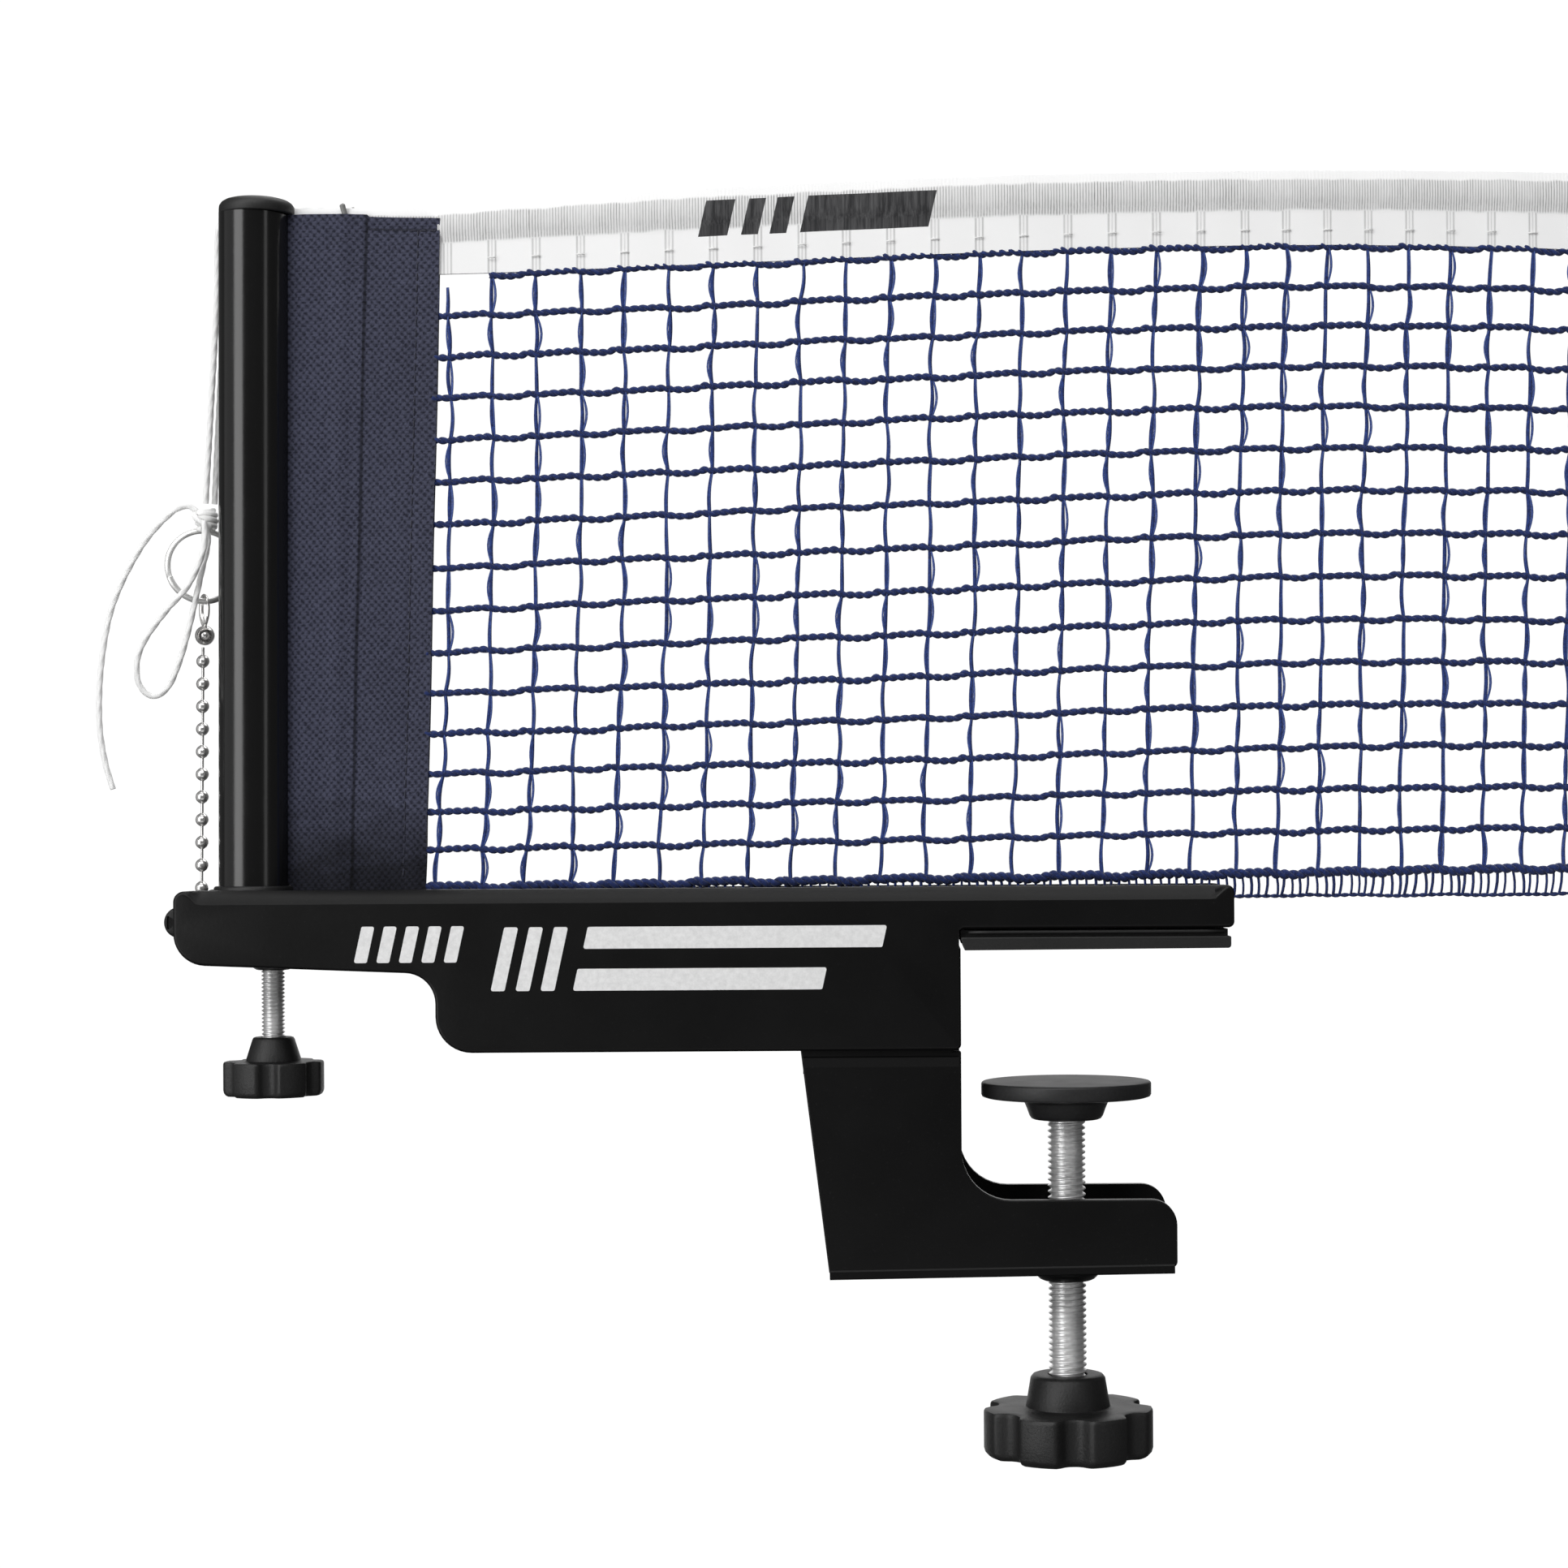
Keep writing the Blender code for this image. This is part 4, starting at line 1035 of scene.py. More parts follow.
def threaded_rod(name, tip, top, bottom, radius, pitch, x):
    """Screw with a real right-hand thread from top to bottom; tip is its plain end above that."""
    count = 40
    depth = 0.54 * pitch
    rows = int((top - bottom) / pitch * 10)
    points, faces = [], []
    for z, reach in tip:
        for index in range(count):
            angle = math.tau * index / count
            points.append((x + reach * math.cos(angle), reach * math.sin(angle), z))
    for row in range(rows + 1):
        z = top - (top - bottom) * row / rows
        fade = min(1.0, (top - z) / pitch, (z - bottom) / pitch + 0.2)
        for index in range(count):
            angle = math.tau * index / count
            phase = (z / pitch - index / count) % 1.0
            flank = clamped((abs(phase - 0.5) * 2 - 0.12) / 0.70)
            reach = radius - depth * fade * (1.0 - flank)
            points.append((x + reach * math.cos(angle), reach * math.sin(angle), z))
    rings = len(points) // count
    for ring in range(rings - 1):
        for index in range(count):
            after = (index + 1) % count
            low = ring * count
            faces.append((low + index, low + count + index, low + count + after, low + after))
    faces.append(tuple(range(count)))
    faces.append(tuple(reversed(range((rings - 1) * count, rings * count))))
    return from_data(name, points, faces, ZINC, 50.0)


def make_screws():
    """The two threaded spindles."""
    clamp = threaded_rod(
        "clamp_screw_m8",
        [
            (-0.0312, 0.0022), (-0.0316, 0.0026), (-0.0320, 0.0026), (-0.0320, 0.0019),
            (-0.0330, 0.0019), (-0.0330, 0.0026), (-0.0347, 0.0027),
        ],
        -0.0358,
        CLAMP_SCREW[0].z,
        0.0039,
        0.00125,
        0.0,
    )
    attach(clamp, "clamp_spindle")
    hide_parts("clamp_screw")
    lift = threaded_rod(
        "height_screw_m5",
        [(0.0032, 0.0012), (0.0029, 0.0016), (0.0010, 0.0016)],
        0.0004,
        LIFT_SCREW[0].z,
        0.00238,
        0.0008,
        LIFT_X,
    )
    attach(lift, "height_spindle")
    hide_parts("height_screw")


def star(outer, valley, half_gap, lobes, start):
    """Radius of a star knob: round notches of half_gap half width between broad lobes, edges eased."""
    depth = outer - valley
    notch = (half_gap**2 + depth**2) / (2 * depth)
    centre = valley + notch

    def raw(angle):
        turn = math.tau / lobes
        away = (angle - start + turn / 2) % turn - turn / 2
        from_notch = abs(away) - turn / 2
        across = centre * math.sin(from_notch)
        bulge = outer * (1.0 - 0.018 * (abs(away) / (turn / 2)) ** 2)
        if abs(across) >= notch:
            return bulge
        return min(bulge, centre * math.cos(from_notch) - math.sqrt(notch**2 - across**2))

    def radius(angle):
        spread = [raw(angle + math.radians(shift)) for shift in (-2.2, -1.1, 0.0, 1.1, 2.2)]
        return sum(spread) / len(spread)

    return radius


def scaled(radius, share, hub):
    """The star shape drawn in towards the hub, for rounded rims and the slope up to the hub."""
    return lambda angle: hub + (radius(angle) - hub) * share


def make_knob(name, x, shape, hub, heights, bore, body, node):
    """Star knob: tapered hub, gently dished top, grip faces and a rounded lower rim."""
    hub_top, lobe_top, lobe_bottom, bore_end = heights
    deep = lobe_top - lobe_bottom
    edge = 0.07 * deep
    stations = [
        (bore_end, 0),
        (bore_end, bore),
        (hub_top - 0.1 * edge, bore),
        (hub_top, bore + 0.5 * edge),
        (hub_top, 0.86 * hub[0]),
        (hub_top - 0.25 * edge, 0.94 * hub[0]),
        (hub_top - 1.1 * edge, hub[0]),
        (lobe_top + 1.4 * edge, hub[1] * 0.985),
        (lobe_top + 0.5 * edge, hub[1]),
        (lobe_top + 0.1 * edge, hub[1] * 1.05),
        (lobe_top, hub[1] * 1.12),
        (lobe_top + 0.15 * edge, scaled(shape, 0.55, hub[1])),
        (lobe_top + 0.20 * edge, scaled(shape, 0.90, hub[1])),
        (lobe_top, scaled(shape, 0.965, hub[1])),
        (lobe_top - 0.6 * edge, scaled(shape, 0.995, hub[1])),
        (lobe_top - 1.2 * edge, shape),
        (lobe_top - 0.5 * deep, shape),
        (lobe_bottom + 2.6 * edge, shape),
        (lobe_bottom + 1.5 * edge, scaled(shape, 0.975, hub[1])),
        (lobe_bottom + 0.6 * edge, scaled(shape, 0.91, hub[1])),
        (lobe_bottom + 0.1 * edge, scaled(shape, 0.82, hub[1])),
        (lobe_bottom, scaled(shape, 0.68, hub[1])),
        (lobe_bottom, hub[1] * 0.75),
        (lobe_bottom + 1.2 * edge, hub[1] * 0.70),
        (lobe_bottom + 1.2 * edge, 0),
    ]
    knob = turned(name, stations, BLACK_PLASTIC, x, count=252, sharp=42.0)
    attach(knob, body)
    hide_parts(node)


def make_knobs():
    """The seven-lobed clamp knob and the six-lobed height knob."""
    make_knob(
        "clamp_star_knob",
        0.0,
        star(0.0175, 0.0146, 0.0034, 7, math.radians(-114)),
        (0.0077, 0.0087),
        (-0.0882, -0.0951, -0.1048, -0.1002),
        0.0041,
        "clamp_spindle",
        "clamp_knob",
    )
    make_knob(
        "height_star_knob",
        LIFT_X,
        star(0.0102, 0.0086, 0.0022, 6, math.radians(-115)),
        (0.0043, 0.0056),
        (-0.0178, -0.0229, -0.0299, -0.0265),
        0.0026,
        "height_spindle",
        "height_knob",
    )


def make_disc():
    """Pressure disc with an eased rim, a flared neck and a pocket for the screw's tip."""
    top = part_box("clamp_disc")[1].z
    reach = 0.0175
    profile = [(top - 0.0001, 0), (top - 0.0001, 0.0100), (top, 0.0150)]
    for step in range(5):
        angle = math.radians(90 - 22.5 * step)
        profile.append((top - 0.0005 + 0.0005 * math.sin(angle), reach - 0.0005 + 0.0005 * math.cos(angle)))
    profile += [
        (top - 0.0026, reach), (top - 0.0030, reach - 0.0002), (top - 0.0032, reach - 0.0008),
        (top - 0.0034, 0.0120), (top - 0.0037, 0.0098), (top - 0.0044, 0.0086),
        (top - 0.0056, 0.0081), (top - 0.0070, 0.0076), (top - 0.0076, 0.0072),
        (top - 0.0078, 0.0067), (-0.0357, 0.0042), (-0.0345, 0.0029), (-0.0335, 0.0029),
        (-0.0335, 0.0046), (-0.0308, 0.0046), (-0.0308, 0),
    ]
    disc = turned("pressure_disc", profile, DISC_PLASTIC, count=128)
    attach(disc, "clamp_pad")
    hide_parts("clamp_disc")


# ---------------------------------------------------------------- net


def seam_x(share):
    """The sleeve's seam at a share of the sleeve's height."""
    return SEAM_TOP_X - SEAM_SLANT * (1 - share)


def sleeve_left(z):
    """World X where the sleeve leaves the post at a height."""
    return POST_X + POST_RADIUS + post_lean(z)


def sleeve_right(share):
    """World X of the sleeve's free edge at a share of its height."""
    return SLEEVE_EDGE_X + 0.0004 - SLEEVE_SLANT * (1 - share)


def make_sleeve():
    """One strip of cloth, folded round the rod inside the post, its two plies either side of the net."""
    rod = 0.0027
    left, right = sleeve_left(0.0), sleeve_right(1.0)
    path = [(x, -1.0) for x in np.arange(right, left, -0.0005)]
    path += [(left - 0.0004, -1.0), (left - 0.0018, -1.0)]
    front = list(path)
    for step in range(15):
        angle = math.radians(-20 - 320 * step / 14)
        path.append((POST_X + rod * math.cos(angle), rod * math.sin(angle)))
    path += [(x, 1.0) for x, side in reversed(front)]
    span = [0.0]
    for (ax, ay), (bx, by) in zip(path, path[1:]):
        span.append(span[-1] + abs(bx - ax) + (abs(by - ay) if abs(ay) < 1 and abs(by) < 1 else 0.0))
    rows = 150
    points, faces, uvs = [], [], []
    for walked, (x, side) in zip(span, path):
        along = max(0.0, (x - left) / (right - left))
        top = 0.1514 if x < SEAM_TOP_X else SLEEVE_TOP_Z - 0.0010 * (along - 0.6)
        foot = 0.0113 if x > POST_X + 0.00825 else 0.01335
        for row in range(rows + 1):
            share = row / rows
            z = foot + (top - foot) * share
            at_x, y = x + post_lean(z), side
            if abs(side) == 1.0:
                at_x = x + post_lean(z) * (1 - along) - SLEEVE_SLANT * (1 - share) * along
                y = side * sleeve_depth(at_x, z) + sleeve_wave(at_x, z)
            points.append((at_x, y, z))
            uvs.append((walked, z))
    for column in range(len(path) - 1):
        for row in range(rows):
            low = column * (rows + 1) + row
            faces.append((low, low + rows + 1, low + rows + 2, low + 1))
    sleeve = with_uvs("sleeve_cloth", points, faces, uvs, SLEEVE_CLOTH, 0)
    ply = sleeve.modifiers.new("ply", "SOLIDIFY")
    ply.thickness = 0.00035
    ply.offset = 0.0
    apply_modifiers(sleeve)
    sleeve.data.set_sharp_from_angle(angle=math.radians(60))
    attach(sleeve, "post")
    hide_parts("net_sleeve")


def sleeve_depth(x, z):
    """Half the sleeve's thickness: a welt over the batten, a step at the seam, flat at its ends."""
    share = (z - SLEEVE_FOOT_Z) / (SLEEVE_TOP_Z - SLEEVE_FOOT_Z)
    narrow = clamped((x - sleeve_left(z)) / 0.0030)
    depth = 0.00075 + 0.00035 * narrow
    beyond_seam = x > seam_x(share)
    if beyond_seam:
        depth -= 0.00042
    welt = seam_x(share) - 0.0047 + 0.0012 * (1 - share)
    depth += 0.00035 * bell(x - welt, 0.0016) * narrow
    stitch = sleeve_right(share) - STITCH_INSET
    depth -= 0.00016 * bell(x - stitch, 0.0006)
    if beyond_seam:
        depth -= 0.00014 * bell(z - HEM_Z, 0.0006)
        depth += 0.00010 * clamped((z - HEM_Z) / 0.0008)
    tuck = max(0.0, 1.0 - (z - SLEEVE_FOOT_Z) / 0.010)
    depth -= 0.00035 * tuck * narrow * (0.6 + 0.4 * math.sin(900 * x))
    return max(depth, 0.00040)


def sleeve_wave(x, z):
    """Soft folds that both plies share, deeper near the foot."""
    low = max(0.0, 1.0 - (z - 0.012) / 0.030)
    free = clamped((x - sleeve_left(z)) / 0.006)
    fold = 0.00030 * math.sin(260 * x + 85 * z) + 0.00022 * math.sin(140 * x - 120 * z + 1.3)
    creases = 0.00075 * low**2 * math.sin(420 * x + 300 * z + 0.8)
    return (fold * 0.8 + creases) * free


def make_stitches():
    """Thread runs on both plies, up the free edge and along the top hem, and a loose end at the hem."""
    paths = []
    foot, top = SLEEVE_FOOT_Z, 0.1500

    def run(points_at, count):
        for index in range(count):
            for side in (-1, 1):
                ends = []
                for share in np.linspace(0.12, 0.80, 5):
                    x, z = points_at((index + share) / count)
                    lift = 0.00009 + 0.00010 * math.sin(math.pi * (share - 0.12) / 0.68)
                    ends.append((x, side * (sleeve_depth(x, z) + lift) + sleeve_wave(x, z), z))
                paths.append((np.array(ends), 0.00019))

    def free_edge(share):
        z = foot + 0.002 + (top - foot - 0.003) * share
        return sleeve_right((z - foot) / (top - foot)) - STITCH_INSET, z

    def hem(share):
        width = sleeve_right(1.0) - SEAM_TOP_X - 0.0015
        return SEAM_TOP_X + 0.0010 + width * share, HEM_Z - 0.0006 * share

    run(free_edge, 58)
    run(hem, 7)
    edge = sleeve_right(1.0)
    loose = [(edge - 0.0008, -0.0006, 0.1479), (edge + 0.0002, -0.0007, 0.1478)]
    loose.append((edge + 0.0007, -0.0006, 0.1475))
    paths.append((smooth_route(loose, 0.0003), 0.00024))
    stitches = tubes("sleeve_stitching", paths, SLEEVE_THREAD, 5)
    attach(stitches, "post")


def make_batten():
    """Thin rod in the sleeve, whose tip stands out bent over the sleeve's top."""
    route = from_edge([
        (-0.1276, 0.0, 0.0150), (-0.1256, 0.0, 0.1480), (-0.1257, -0.0002, 0.1515),
        (-0.1262, -0.0006, 0.1534), (-0.1263, -0.0007, 0.1536),
    ])
    radii = np.array([0.0006, 0.0006, 0.0006, 0.0006, 0.0004])
    rod = tubes("batten_rod", [(np.array(route), radii)], BATTEN_GREY, 12, 30.0)
    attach(rod, "post")
    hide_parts("net_batten")


def make_tape():
    """Doubled white tape: a round hem on top, two flat plies below and a thin tail in the sleeve."""
    start = POST_X + 0.0088
    outline = []
    for step in range(13):
        share = step / 12
        bulge = clamped(2.1 * share - 1.05)
        outline.append((share, -0.00042 - 0.00062 * math.sin(bulge * math.pi) ** 0.7))
    outline = outline + [(1.012, 0.0)] + [(share, -depth) for share, depth in reversed(outline)]
    columns = np.arange(start, NET_END_X, 0.00022)
    points, faces, uvs = [], [], []
    for x in columns:
        top = tape_top(x)
        inside = x < SLEEVE_EDGE_X - 0.0003
        tall = 0.0060 if inside else top - net_top(x) - 0.0004
        slack = 0.00010 * math.sin(x * 97)
        for share, y in outline:
            across = 0.58 + 0.42 * share if inside else share
            ripple = 0.00005 * math.sin(math.tau * x / 0.0013 + 2.0 * math.sin(410 * x))
            if inside:
                y_here = 0.3 * y + 0.00045
            else:
                y_here = y + slack + 0.00012 * math.sin(x * 310 + across * 2.0)
            if across > 0.5:
                y_here += math.copysign(ripple, y)
            points.append((x, y_here, top - tall * (1 - share)))
            uvs.append((column_at(x), across))
    count = len(outline)
    for column in range(len(columns) - 1):
        for index in range(count):
            after = (index + 1) % count
            low = column * count
            faces.append((low + index, low + after, low + count + after, low + count + index))
    faces.append(tuple(reversed(range(count))))
    faces.append(tuple(range((len(columns) - 1) * count, len(columns) * count)))
    tape = with_uvs("tape_band", points, faces, uvs, TAPE_CLOTH, 50.0)
    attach(tape, "post")
    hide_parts("net_tape")


def make_tape_stitches():
    """A white tack through the tape at each upright of the net."""
    paths = []
    for column in range(1, COLUMNS):
        x = upright_x(column)
        z = net_top(x) + 0.0034
        for side in (-1, 1):
            depth = side * 0.00074
            line = [(x - 0.0009, depth, z), (x, depth + side * 0.0001, z + 0.0001), (x + 0.0009, depth, z)]
            paths.append((np.array(line), 0.00016))
    tacks = tubes("tape_tacks", paths, WHITE_THREAD, 6)
    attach(tacks, "post")


def net_nodes():
    """Where each row crosses each upright, with the small unevenness of a knitted net."""
    rng = random.Random(11)
    grid = np.zeros((ROWS, COLUMNS, 3))
    for column in range(COLUMNS):
        x_top = upright_x(column)
        left = 1 - column / (COLUMNS - 1)
        low = 0.0154 - 0.0026 * left
        for row in range(ROWS):
            up = row / (ROWS - 1)
            taller_middle = 0.0075 * math.sin(math.tau * up) + 0.012 * left**3 * math.sin(math.pi * up)
            right = max(0.0, 0.58 - left) / 0.72
            taller_middle -= 0.009 * math.sin(math.pi * right) * math.sin(math.pi * (1 - up) ** 1.5)
            lean = (0.0025 + 0.0008 * left) * (1 - up) ** 0.8 - 0.0018 * left**4 * math.sin(math.pi * up)
            grid[row, column] = (
                x_top - lean + rng.uniform(-0.00030, 0.00030),
                rng.uniform(-0.0001, 0.0001),
                low + (net_top(x_top) - low) * (up - taller_middle) + rng.uniform(-0.00016, 0.00016),
            )
    return grid


def row_line(nodes, row, spacing=0.00032):
    """Centre line of one knitted row: it arches a little and humps up before each upright."""
    line = nodes[row]
    first = 1 if row == ROWS - 1 else 0
    edge = SLEEVE_EDGE_X - SLEEVE_SLANT * (1 - row / (ROWS - 1))
    lead = line[1][0] - 0.0004 if first else edge - 0.0008
    route = [(lead, 0.0, line[first][2])]
    for column in range(first, len(line)):
        here = Vector(line[column])
        route.append(here)
        if column + 1 < len(line):
            after = Vector(line[column + 1])
            arch = 0.00022 * (-1) ** column
            for share, lift in ((0.33, arch - 0.00006), (0.62, arch), (0.84, 0.00030)):
                route.append(here.lerp(after, share) + Vector((0.0, 0.0, lift)))
    route.append((NET_END_X, 0.0, line[-1][2]))
    return smooth_route([tuple(point) for point in route], spacing)


def twisted(points, offset, pitch, phase):
    """A strand that winds round a line lying along X."""
    walked = walked_along(points)
    turn = walked / pitch * math.tau + phase
    moved = points.copy()
    moved[:, 1] += offset * np.cos(turn)
    moved[:, 2] += offset * np.sin(turn)
    return moved


def upright(low, high, rng):
    """One knitted upright: a main strand that sways and a thin one that may stand off from it."""
    sway = rng.uniform(-0.00045, 0.00045)
    apart = rng.choice((0.0, 0.0003, 0.0006, 0.0008)) * rng.choice((-1, 1))
    main, thin = [], []
    for step in range(9):
        share = step / 8
        spot = low.lerp(high, share)
        arch = math.sin(math.pi * share)
        main.append((spot.x + sway * arch, spot.y, spot.z))
        thin.append((spot.x + (sway + apart) * arch + 0.00018, spot.y - 0.0002, spot.z))
    swell = 0.00036 + 0.00007 * np.sin(np.linspace(0, math.pi, 9) + rng.uniform(0, 1))
    hairs = [(np.array(thin), 0.00020)]
    if abs(apart) > 0.0003:
        second = np.array(thin)
        second[:, 0] -= 0.00030 * np.sin(np.linspace(0, math.pi, 9)) * np.sign(apart)
        hairs.append((second, 0.00010))
    return (np.array(main), swell), hairs


def make_net():
    """Knitted net: twisted rows, split uprights between them, and the ladder edge in the rail."""
    rng = random.Random(5)
    nodes = net_nodes()
    rows, uprights, filaments = [], [], []
    for row in range(ROWS):
        line = row_line(nodes, row)
        phase = rng.uniform(0, math.tau)
        fuller = 1.35 if row == 0 else 1.0
        for strand in range(2):
            wound = twisted(line, 0.00033 * fuller, 0.0037, phase + math.pi * strand)
            thick = 0.00046 * fuller * (1 + 0.07 * np.sin(np.arange(len(wound)) * 1.1 + strand))
            rows.append((wound, thick))
    for column in range(COLUMNS):
        for row in range(ROWS - 1):
            low, high = Vector(nodes[row, column]), Vector(nodes[row + 1, column])
            if column == 0 and row == ROWS - 2:
                high = low.lerp(high, 0.72)
            main, hairs = upright(low, high, rng)
            uprights.append(main)
            filaments += hairs
    brink_foot = (SLEEVE_EDGE_X - SLEEVE_SLANT - 0.0002, 0.0, NET[0].z + 0.002)
    brink_top = (SLEEVE_EDGE_X - 0.0003, 0.0, 0.1365)
    uprights.append((np.array([brink_foot, brink_top]), 0.00030))
    pieces = [
        tubes("net_rows", rows, NET_TWINE, 7),
        tubes("net_uprights", uprights, NET_UPRIGHT, 6),
        tubes("net_filaments", filaments, NET_FILAMENT, 5),
        tubes("net_ladder", ladder_edge(nodes, rng), NET_TWINE, 6),
    ]
    net = combine("net_knit", pieces)
    net.data.shade_smooth()
    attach(net, "post")
    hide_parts("net_mesh")


def ladder_edge(nodes, rng):
    """Close rungs below the lowest row, down to a thin looped selvedge."""
    low_line = smooth_route(
        [(x, y, z) for x, y, z in nodes[0]] + [(NET_END_X, 0.0, nodes[0, -1, 2])], 0.0008
    )
    edge_z = NET[0].z - 0.0003
    start = SLEEVE_EDGE_X - SLEEVE_SLANT
    paths = []
    x = start
    while x < NET_END_X - 0.0006:
        top = float(np.interp(x, low_line[:, 0], low_line[:, 2]))
        lean = rng.uniform(-0.0007, 0.0003)
        points = []
        for step in range(5):
            share = step / 4
            points.append(
                (x + lean * share + 0.00025 * math.sin(math.pi * share), 0.0, top + (edge_z - top) * share)
            )
        paths.append((np.array(points), 0.00028 * rng.uniform(0.85, 1.2)))
        x += 0.00172 * rng.uniform(0.82, 1.18)
    edge = [(start, 0.0, edge_z)]
    count = 60
    for index in range(1, count + 1):
        edge.append((start + (NET_END_X - start) * index / count, 0.0, edge_z + rng.uniform(-0.0002, 0.0002)))
    line = smooth_route(edge, 0.0005)
    for strand in range(2):
        paths.append((twisted(line, 0.00022, 0.0036, math.pi * strand), 0.00024))
    return paths


# ---------------------------------------------------------------- cord, ring and chain


def around_post(reach, start_angle, end_angle, start_z, end_z, steps):
    """Part of a helix round the post, as the taut cord lies on the back of the cap."""
    points = []
    for index in range(steps + 1):
        share = index / steps
        angle = math.radians(start_angle + (end_angle - start_angle) * share)
        points.append(
            (
                POST_X + post_lean(start_z) + reach * math.cos(angle),
                reach * math.sin(angle),
                start_z + (end_z - start_z) * share**2,
            )
        )
    return points


OUTER_STRAND = [
    (edge_x(-0.1243), 0.0017, 0.1530),
    (edge_x(-0.1310), 0.0034, 0.1534),
    *around_post(0.0087, 62, 160, 0.1540, 0.1492, 5),
    (edge_x(-0.1532), 0.0040, 0.1350),
    (edge_x(-0.1548), 0.0052, 0.1130),
    (edge_x(-0.1563), 0.0062, 0.0929),
]
INNER_STRAND = [
    (edge_x(-0.1243), 0.0020, 0.1514),
    (edge_x(-0.1310), 0.0038, 0.1517),
    *around_post(0.0087, 62, 150, 0.1522, 0.1470, 5),
    (edge_x(-0.1522), 0.0056, 0.1330),
    (edge_x(-0.1535), 0.0068, 0.1130),
    (edge_x(-0.1548), 0.0077, 0.0929),
]
BIGHT = from_edge([
    (-0.1559, 0.0048, 0.0884), (-0.1554, 0.0042, 0.0845), (-0.1565, 0.0036, 0.0789),
    (-0.1579, 0.0034, 0.0725), (-0.1594, 0.0033, 0.0661), (-0.1614, 0.0034, 0.0595),
    (-0.1638, 0.0036, 0.0545), (-0.1669, 0.0034, 0.0527), (-0.1695, 0.0028, 0.0552),
    (-0.1697, 0.0022, 0.0600), (-0.1678, 0.0018, 0.0646), (-0.1635, 0.0016, 0.0703),
    (-0.1588, 0.0016, 0.0757), (-0.1558, 0.0018, 0.0828), (-0.1559, 0.0034, 0.0889),
])
TAIL = from_edge([
    (-0.1582, 0.0066, 0.0914), (-0.1600, 0.0064, 0.0924), (-0.1622, 0.0060, 0.0918),
    (-0.1645, 0.0056, 0.0899), (-0.1674, 0.0052, 0.0867), (-0.1702, 0.0049, 0.0826),
    (-0.1734, 0.0046, 0.0765), (-0.1758, 0.0043, 0.0700), (-0.1773, 0.0040, 0.0620),
    (-0.1780, 0.0038, 0.0540), (-0.1779, 0.0036, 0.0460), (-0.1768, 0.0035, 0.0390),
    (-0.1752, 0.0034, 0.0335),
])


def make_cords():
    """Two taut strands over the post, the bight and the free tail; the taut strands stay where they are made,
    and the bight and the tail ride on the bracket.
    """
    spacing = 0.0003
    rows = [
        ("outer_strand", OUTER_STRAND, "cord_strand_outer", "knot", "taut"),
        ("inner_strand", INNER_STRAND, "cord_strand_inner", "knot", "taut"),
        ("bight", BIGHT, "cord_bight", "object", "hanging"),
        ("free_tail", TAIL, "cord_tail", "bare", "hanging"),
    ]
    for name, route, node, far_end, lay in rows:
        path = smooth_route(route, spacing)
        piece = laid_cord(name, path, CORD_WHITE)
        if lay == "taut":
            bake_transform(piece)
        else:
            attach(piece, "bracket")
        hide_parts(node)


def make_knot():
    """Half hitches: three wraps round the strands and one turn across them."""
    centre = Vector((edge_x(-0.1562), 0.0066, 0.0895))
    paths = []
    turns = 3.6
    wrap = []
    for index in range(100):
        share = index / 99
        angle = math.tau * turns * share + 0.6
        reach = 0.00150 + 0.00030 * math.sin(math.pi * share)
        across, along = reach * math.cos(angle), reach * math.sin(angle)
        wrap.append(centre + Vector((across, along, 0.0020 - 0.0040 * share)))
    paths.append(np.array([tuple(point) for point in wrap]))
    cross = [
        centre + Vector(offset)
        for offset in (
            (-0.0020, 0.0002, 0.0017), (-0.0021, -0.0013, 0.0006), (-0.0008, -0.0024, -0.0005),
            (0.0009, -0.0023, -0.0015), (0.0004, -0.0016, -0.0024),
        )
    ]
    paths.append(smooth_route(cross, 0.0002))
    pieces = [laid_cord("wrap", path, CORD_WHITE, 0.00062) for path in paths]
    knot = combine("hitch_knot", pieces)
    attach(knot, "bracket")
    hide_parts("cord_knot")


def make_ring():
    """Split ring: two turns of flattened wire side by side, with the step where they part."""
    centre = (RING[0] + RING[1]) / 2
    reach = (RING[1].x - RING[0].x) / 2 - 0.00060
    tilt = Matrix.Rotation(math.radians(20), 3, "Z")
    count = 260
    path = []
    for index in range(count):
        share = index / (count - 1)
        angle = math.tau * 1.97 * share + math.radians(200)
        step = clamped((share - 0.47) / 0.06)
        side = -0.00050 + 0.00100 * eased(step)
        spot = tilt @ Vector((reach * math.cos(angle), side, reach * math.sin(angle)))
        path.append(tuple(centre + spot))
    section = circle(1.0, 12)
    section = np.sign(section) * np.abs(section) ** 0.7 * np.array([0.00060, 0.00037])

    verts, faces = tube_data(path, lambda index: section)
    ring = from_data("split_ring_coil", verts, faces, RING_STEEL, 40.0)
    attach(ring, "bracket")
    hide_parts("split_ring")


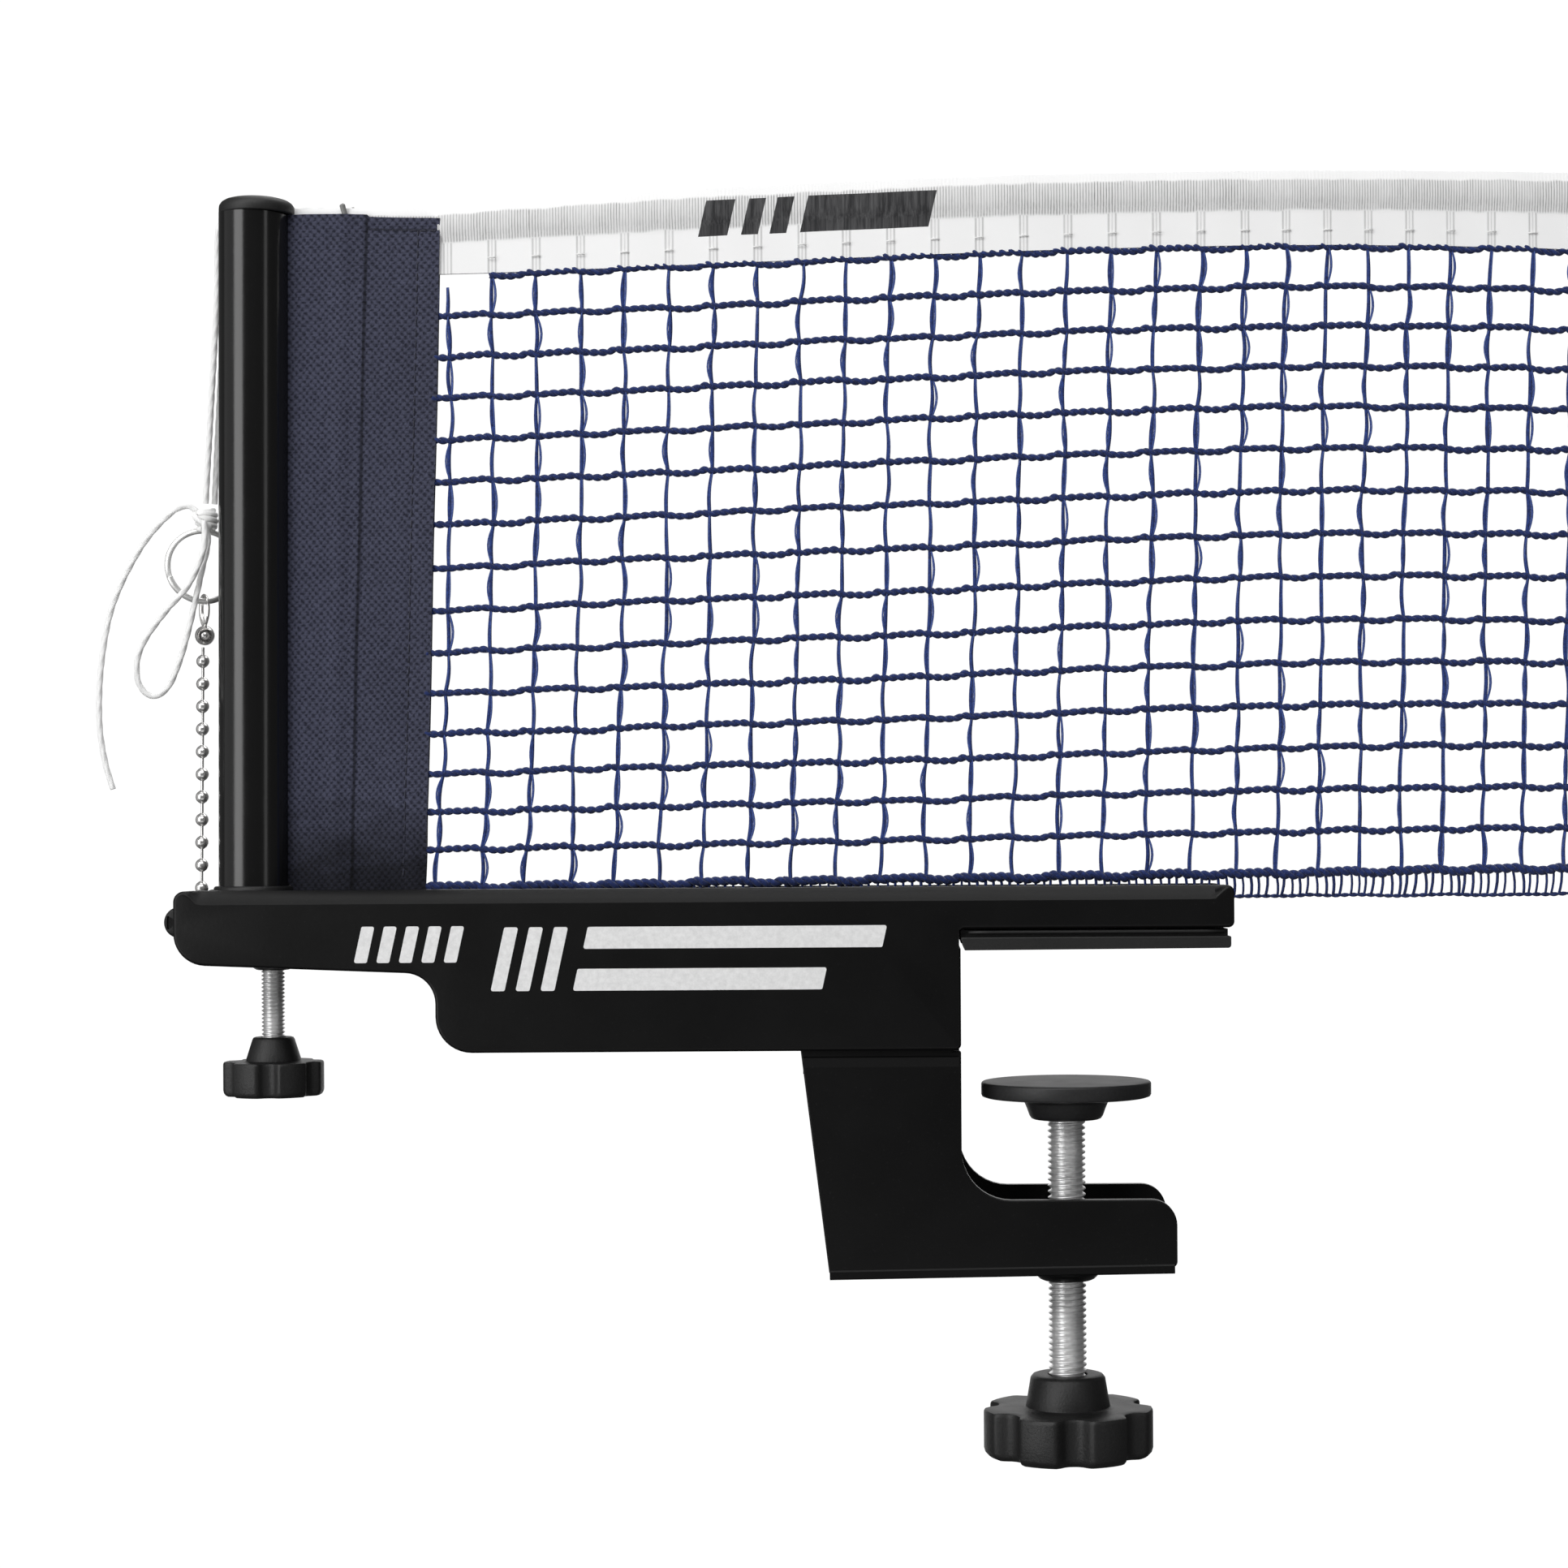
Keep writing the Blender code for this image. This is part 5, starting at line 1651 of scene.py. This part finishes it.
def make_connector():
    """Pressed clasp: a cup open to the front that shows the ball it holds, and a tall eye above."""
    x, y, z = edge_x(-0.1569), 0.0075, 0.0655
    cup = turned("cup", ball_stations(z, 0.00208, 16), NICKEL, x, y, 48, sharp=60.0)
    hollow = turned("hollow", ball_stations(z, 0.00178, 12), NICKEL, x, y, 32)
    window = drill(0.004, 0.0, 0.00145, count=32)
    face_front(window, (x + 0.0002, y, z))
    cut(cup, hollow, window)
    held = turned("held", ball_stations(z, 0.0012, 12), NICKEL, x, y, 32, sharp=60.0)
    turn = Matrix.Rotation(math.radians(35), 3, "Z")
    eye = []
    for offset in (
        (0.0, -0.0001, 0.0019), (0.0, -0.0010, 0.0028), (0.0, -0.0019, 0.0045),
        (0.0, -0.0019, 0.0066), (0.0, -0.0008, 0.0081), (0.0, 0.0008, 0.0081),
        (0.0, 0.0019, 0.0066), (0.0, 0.0019, 0.0045), (0.0, 0.0010, 0.0028),
        (0.0, 0.0001, 0.0019),
    ):
        eye.append(tuple(Vector((x, y, z)) + turn @ Vector(offset)))
    section = circle(1.0, 10) * np.array([0.00028, 0.00052])
    verts, faces = tube_data(smooth_route(eye, 0.0002), lambda index: section)
    loop = from_data("loop", verts, faces, NICKEL, 50.0)
    clasp = combine("chain_clasp", [cup, held, loop])
    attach(clasp, "bracket")
    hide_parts("chain_connector")


def make_chain():
    """Ball chain: round beads with a rim at each pole, on short dumb-bell links."""
    low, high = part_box("ball_chain")
    pitch, radius, top = 0.004716, 0.00138, 0.0601
    x = (low.x + high.x) / 2 - 0.0007

    def lean(z):
        return 0.0075 - 0.0034 * (top + 0.012 - z) / (top + 0.008)

    stations = [(high.z, 0), (high.z, 0.00030)]
    for bead in range(13):
        centre = top - bead * pitch
        stations.append((centre + radius * 0.985, 0.00030))
        stations.append((centre + radius * 0.985, 0.00048))
        for step in range(2, 15):
            angle = math.pi * step / 16
            stations.append((centre + radius * math.cos(angle), radius * math.sin(angle)))
        stations.append((centre - radius * 0.985, 0.00048))
        stations.append((centre - radius * 0.985, 0.00030))
    stations.append((low.z, 0))
    chain = turned("bead_chain", stations, NICKEL, x, count=24, sharp=50.0)
    for vert in chain.data.vertices:
        vert.co.y += lean(vert.co.z)
    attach(chain, "bracket")
    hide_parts("ball_chain")


# ---------------------------------------------------------------- hidden CAD nodes, stage and camera


def dress_cad_nodes():
    """Finishes for the four inner CAD nodes that stay as they are."""
    for name, finish in (
        ("height_nut", ZINC),
        ("disc_clip", ZINC),
        ("post_foot", BLACK_PLASTIC),
        ("edge_rod", BLACK_PLASTIC),
    ):
        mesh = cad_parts[name].data
        mesh.materials.clear()
        mesh.materials.append(finish)


def make_camera():
    """Camera square to the front, its lens shifted as the cropped framing needs."""
    camera = bpy.data.cameras.new("camera")
    camera.lens_unit = "MILLIMETERS"
    camera.sensor_width = 36.0
    camera.lens = 68.94
    camera.shift_x = -0.0849
    camera.shift_y = 0.0383
    camera.clip_start = 0.01
    view = bpy.data.objects.new("camera", camera)
    bpy.context.scene.collection.objects.link(view)
    view.location = (-0.0304, -0.619, 0.0211)
    turn = Vector((0.0, 1.0, 0.0)).to_track_quat("-Z", "Y").to_matrix()
    roll = Matrix.Rotation(math.radians(-0.35), 3, "Z")
    view.rotation_euler = (turn @ roll).to_euler()
    bpy.context.scene.camera = view


def area_light(name, place, target, size, energy):
    """Rectangular lamp aimed at a target."""
    light = bpy.data.lights.new(name, "AREA")
    light.shape = "RECTANGLE"
    light.size, light.size_y = size
    light.energy = energy
    lamp = bpy.data.objects.new(name, light)
    bpy.context.scene.collection.objects.link(lamp)
    lamp.location = place
    lamp.rotation_euler = (Vector(target) - Vector(place)).to_track_quat("-Z", "Y").to_euler()


def make_stage():
    """White card behind the clamp, only as large as the picture needs, so that it makes no rim light."""
    centre_x, centre_z, reach = -0.10, 0.05, 0.47
    points = []
    for x, z in ((-reach, -reach), (reach, -reach), (reach, reach), (-reach, reach)):
        points.append((centre_x + x, 0.9, centre_z + z))
    mesh = bpy.data.meshes.new("card")
    mesh.from_pydata(points, [], [(0, 1, 2, 3)])
    card = Finish("card_white", (0.0, 0.0, 0.0), 1.0, specular=0.0)
    card.shader.inputs["Emission Color"].default_value = (1.0, 1.0, 1.0, 1.0)
    card.shader.inputs["Emission Strength"].default_value = 1.05
    mesh.materials.append(card.material)
    obj = bpy.data.objects.new("card", mesh)
    bpy.context.scene.collection.objects.link(obj)


def make_lights():
    """Soft studio lamps and a faint even world."""
    world = bpy.data.worlds.new("studio")
    world.use_nodes = True
    world.node_tree.nodes["Background"].inputs[0].default_value = (1.0, 1.0, 1.0, 1.0)
    world.node_tree.nodes["Background"].inputs[1].default_value = 0.10
    bpy.context.scene.world = world
    centre = (-0.03, 0.0, 0.04)
    area_light("key_strip", (-0.94, -0.90, 0.25), (-0.167, 0.0, 0.08), (0.62, 1.6), 10.5)
    area_light("left_panel", (-1.20, -0.25, 0.10), centre, (0.9, 1.4), 1.3)
    area_light("right_strip", (0.90, -0.95, 0.10), centre, (0.22, 1.4), 0.95)
    area_light("front_high", (-0.25, -1.15, 1.20), centre, (1.5, 0.8), 12.0)
    area_light("front_low", (0.1, -1.25, -0.75), centre, (1.4, 0.6), 1.7)
    area_light("top_back", (0.1, 0.75, 1.20), centre, (1.4, 0.6), 5.0)
    area_light("overhead", (0.0, 0.10, 1.30), centre, (1.2, 1.2), 8.0)
    bpy.context.scene.view_settings.view_transform = "Standard"


def main():
    """The camera and the cords come first, then the pieces, the stage and the lamps."""
    make_camera()
    make_cords()
    make_arm()
    make_leg()
    make_pad()
    make_anchor()
    make_bush()
    make_clamp_nut()
    make_emblem()
    make_post()
    make_screws()
    make_knobs()
    make_disc()
    make_sleeve()
    make_stitches()
    make_batten()
    make_tape()
    make_tape_stitches()
    make_net()
    make_knot()
    make_ring()
    make_connector()
    make_chain()
    dress_cad_nodes()
    make_stage()
    make_lights()


main()
